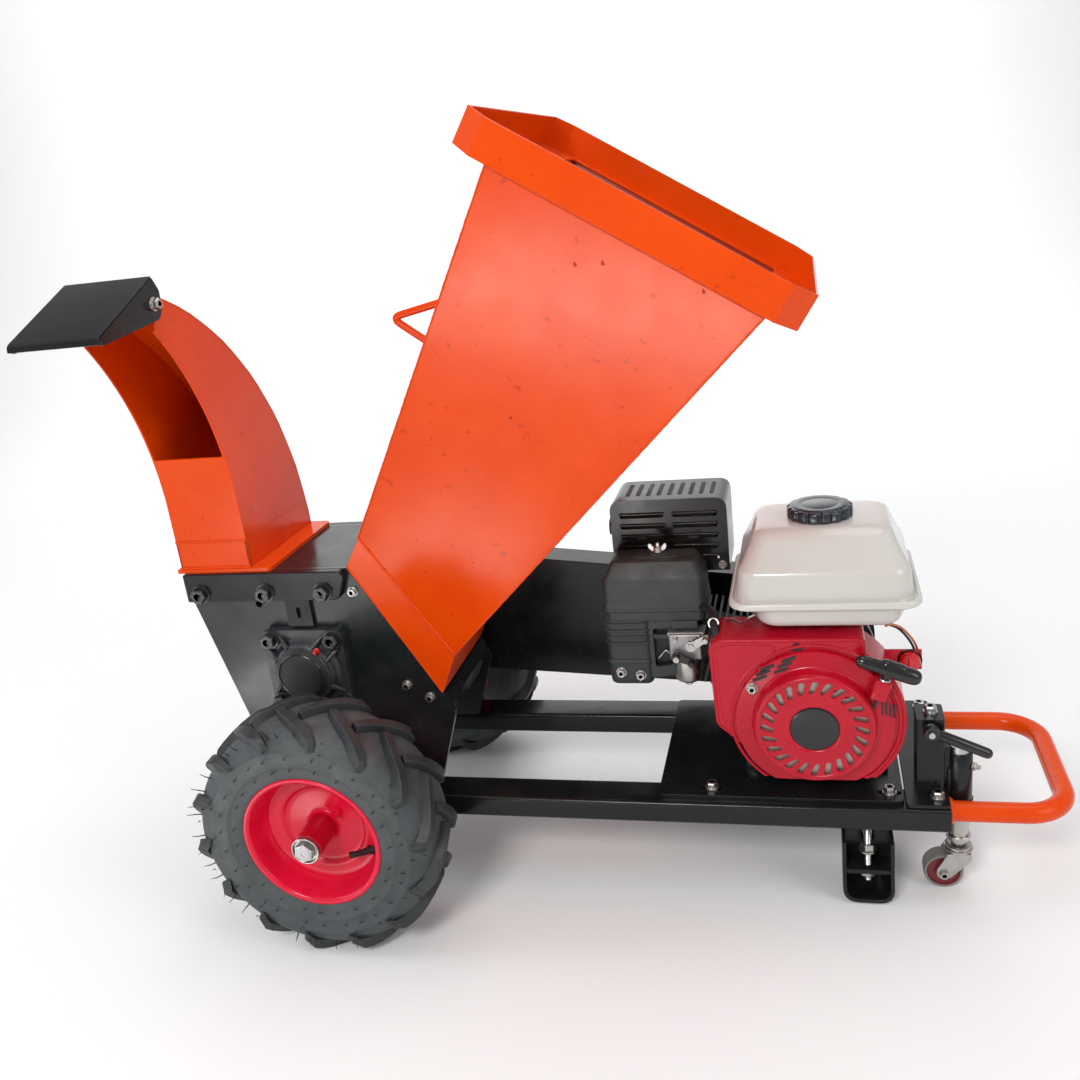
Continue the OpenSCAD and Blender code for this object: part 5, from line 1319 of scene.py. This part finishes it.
put("rope_boss", mesh(tilted(loft_bm([rr(55, -130, 20, 22, 5, z) for z in (60, 61)]
                                     + [rr(55, -130, 19, 21, 5, 80), rr(55, -130, 17, 19, 5, 83.4),
                                        rr(55, -130, 12, 12, 5, 84.4)])), "rope_boss"), "chassis",
    "crimson", smooth=35)
put("rope_guide", mesh(tilted(lathe_bm([(3.2, 83.6), (6.4, 83.6), (7, 84.4), (6.4, 85.6), (4.4, 86),
                                        (3.2, 85)], (55, -132, 0), "Z", 36)), "rope_guide"), "chassis",
    "zinc", smooth=40)
put("grip_rope", mesh(tilted(sweep_bm([(55, -132, z) for z in (14, 30, 60, 80, 92)], 2, 14)), "grip_rope"),
    "grip", "rope", smooth=50, replaces="recoil_grip", slot="black_plastic")
put("grip_neck", mesh(tilted(lathe_bm([(2, 85.4), (4.4, 85.4), (5.2, 86.4), (5.2, 88), (7.4, 92), (9, 97),
                                       (2, 97)], (55, -132, 0), "Z", 36)), "grip_neck"), "grip",
    "gloss_black", smooth=50)
bar = [(-37.6, 2.4), (-36.4, 5), (-33.6, 6.8), (-29, 7.6), (-20, 7.8), (-10, 8.2), (0, 8.8), (12, 9.4),
       (24, 9.6), (30, 9.2), (34, 8), (36.6, 5.6), (37.6, 2.8)]
bm = sweep_bm([(55 + a, -132, 98) for a, r in bar], [r for a, r in bar], 32)
put("grip_bar", mesh(tilted(bm), "grip_bar", 0), "grip", "gloss_black", smooth=50)
put("grip_saddle", mesh(tilted(loft_bm([rr(60, -132, 34, 13, 6, 97), rr(60, -132, 34, 14.4, 6.6, 101),
                                        rr(60, -132, 31, 13.6, 6.4, 105.4), rr(60, -132, 25, 10, 4.8, 108),
                                        rr(60, -132, 18, 5, 2.4, 108.8)])), "grip_saddle"), "grip",
    "gloss_black", smooth=45)
for i in range(3):
    x = -30 + i * 6
    bm = sweep_bm([(55 + x, -132 + 7.7 * math.sin(a), 98 + 7.7 * math.cos(a)) for a in
                   [math.radians(t) for t in range(0, 360, 12)]], 0.75, 8, cyclic=True)
    put("grip_ring_%d" % i, mesh(tilted(bm), "grip_ring", 0), "grip", "gloss_black", smooth=50)

# Stop switch with its two leads
SX, SZ = CRX + 114, CRZ + 50
lathe("switch_body", [(0, -58.3), (11.6, -58.3), (12, -58.8), (12, -66), (10.8, -69.4), (9, -70.3),
                      (0, -70.3)], (SX, 0, SZ), "Y", "stop_switch", "red_plastic", n=48,
      replaces="engine_switch", slot="red_plastic", closed=False)
box("switch_knob", (SX - 3, -76.3, SZ - 10), (SX + 3, -68.3, SZ + 10), "stop_switch", "red_plastic",
    bevel=1.6, segs=4)
lathe("switch_bezel", [(12.4, -57.8), (14.4, -57.8), (14.4, -59.6), (13.6, -60.4), (12.4, -60)],
      (SX, 0, SZ), "Y", "chassis", "gloss_black", n=48)
for k in range(2):
    d = k * 4.2
    pts = spline([(SX + 3, -52 + d, SZ - 20), (SX + 8 + d * 0.5, -50, SZ - 4), (SX + 3 + d, -52, SZ + 18),
                  (SX - 12 + d, -66, SZ + 44), (SX - 26 + d, -82, SZ + 58),
                  (SX - 34 + d, -92, SZ + 65 - d)], 8)
    tube("switch_lead_%d" % k, pts, 1.5, "chassis", "copper" if k else "rubber", n=10)
bolt((CRX + 96, -58, CRZ + 42), (0, -1, 0), 4.5, "chassis", "zinc", tag="switch_screw")

# ---------------------------------------------------------------- stage, light and camera
scene = bpy.context.scene
scene.view_settings.view_transform = "Standard"
scene.view_settings.look = "None"
bm = bmesh.new()
turn = Matrix.Rotation(math.radians(15.6), 4, "Z")
sweep = [(-7.0, 0.0), (3.2, 0.0)] + [(3.2 + 2 * sind(a), 2 - 2 * cosd(a))
                                     for a in range(6, 91, 6)] + [(5.2, 7.0)]
rows = [[bm.verts.new(turn @ Vector((x, y, z))) for y, z in sweep] for x in (-8, 8)]
for i in range(len(sweep) - 1):
    bm.faces.new((rows[0][i], rows[1][i], rows[1][i + 1], rows[0][i + 1]))
floor_me = mesh(bm, "floor")
floor_me.shade_smooth()
floor = bpy.data.objects.new("floor", floor_me)
scene.collection.objects.link(floor)
floor_me.materials.append(material("floor_pale", (0.90, 0.90, 0.90), (0.885, 0.885, 0.885), 0.8, 0.9,
                                   scale=2, grain=60, bump=0.02, spec=0.1))

world = bpy.data.worlds.new("studio")
scene.world = world
world.use_nodes = True
world.node_tree.nodes["Background"].inputs["Color"].default_value = (0.95, 0.97, 1.0, 1)
world.node_tree.nodes["Background"].inputs["Strength"].default_value = 0.46


def area(name, loc, target, size, power, color=(1, 1, 1)):
    """Soft rectangular light aimed at a point."""
    ld = bpy.data.lights.new(name, "AREA")
    ld.shape = "RECTANGLE"
    ld.size, ld.size_y = size
    ld.energy = power
    ld.color = color
    lo = bpy.data.objects.new(name, ld)
    scene.collection.objects.link(lo)
    lo.location = loc
    lo.rotation_euler = (Vector(target) - Vector(loc)).to_track_quat("-Z", "Y").to_euler()
    return lo


area("key", (-0.3, -2.2, 1.9), (-0.1, -0.6, 0.15), (0.7, 0.6), 32, (1.0, 0.97, 0.94))
# Two low panels that only show as sheen on the paint
for name, spot, size, power in (("panel", (-0.74, -1.57, 0.03), (1.25, 0.42), 19),
                                ("panel_low", (-0.66, -0.62, 0.03), (0.36, 0.3), 1.5)):
    low = area(name, spot, (0, 0, 1.0), size, power, (1.0, 0.97, 0.93))
    low.rotation_euler = (math.pi, 0, math.radians(12))
    low.visible_camera = low.visible_diffuse = False
area("right", (2.4, -1.4, 1.7), (0.1, 0, 0.4), (1.2, 1.6), 18, (1.0, 0.98, 0.96))
area("top", (0.2, 0.4, 3.0), (0, 0, 0.3), (2.4, 2.0), 26)
area("left", (-2.6, -0.6, 1.2), (-0.3, 0, 0.4), (0.9, 1.6), 16, (0.9, 0.96, 1.0))
area("backdrop", (-0.6, 2.6, 3.2), (-1.0, 4.6, 1.2), (4.0, 1.0), 120)

cam_data = bpy.data.cameras.new("camera")
cam = bpy.data.objects.new("camera", cam_data)
scene.collection.objects.link(cam)
cam_data.sensor_width = 36
cam_data.lens = 34.78
cam_data.clip_start = 0.02
right, up, back = Vector((0.9667, 0.2287, -0.1151)), Vector((0.0312, 0.3408, 0.9396)), Vector((0.2541,
        -0.9119, 0.3223))
rot = Matrix((right, up, back)).transposed()
cam.matrix_world = Matrix.Translation((0.2737, -1.2640,
                                       0.8984)) @ rot.to_quaternion().normalized().to_matrix().to_4x4()
scene.camera = cam
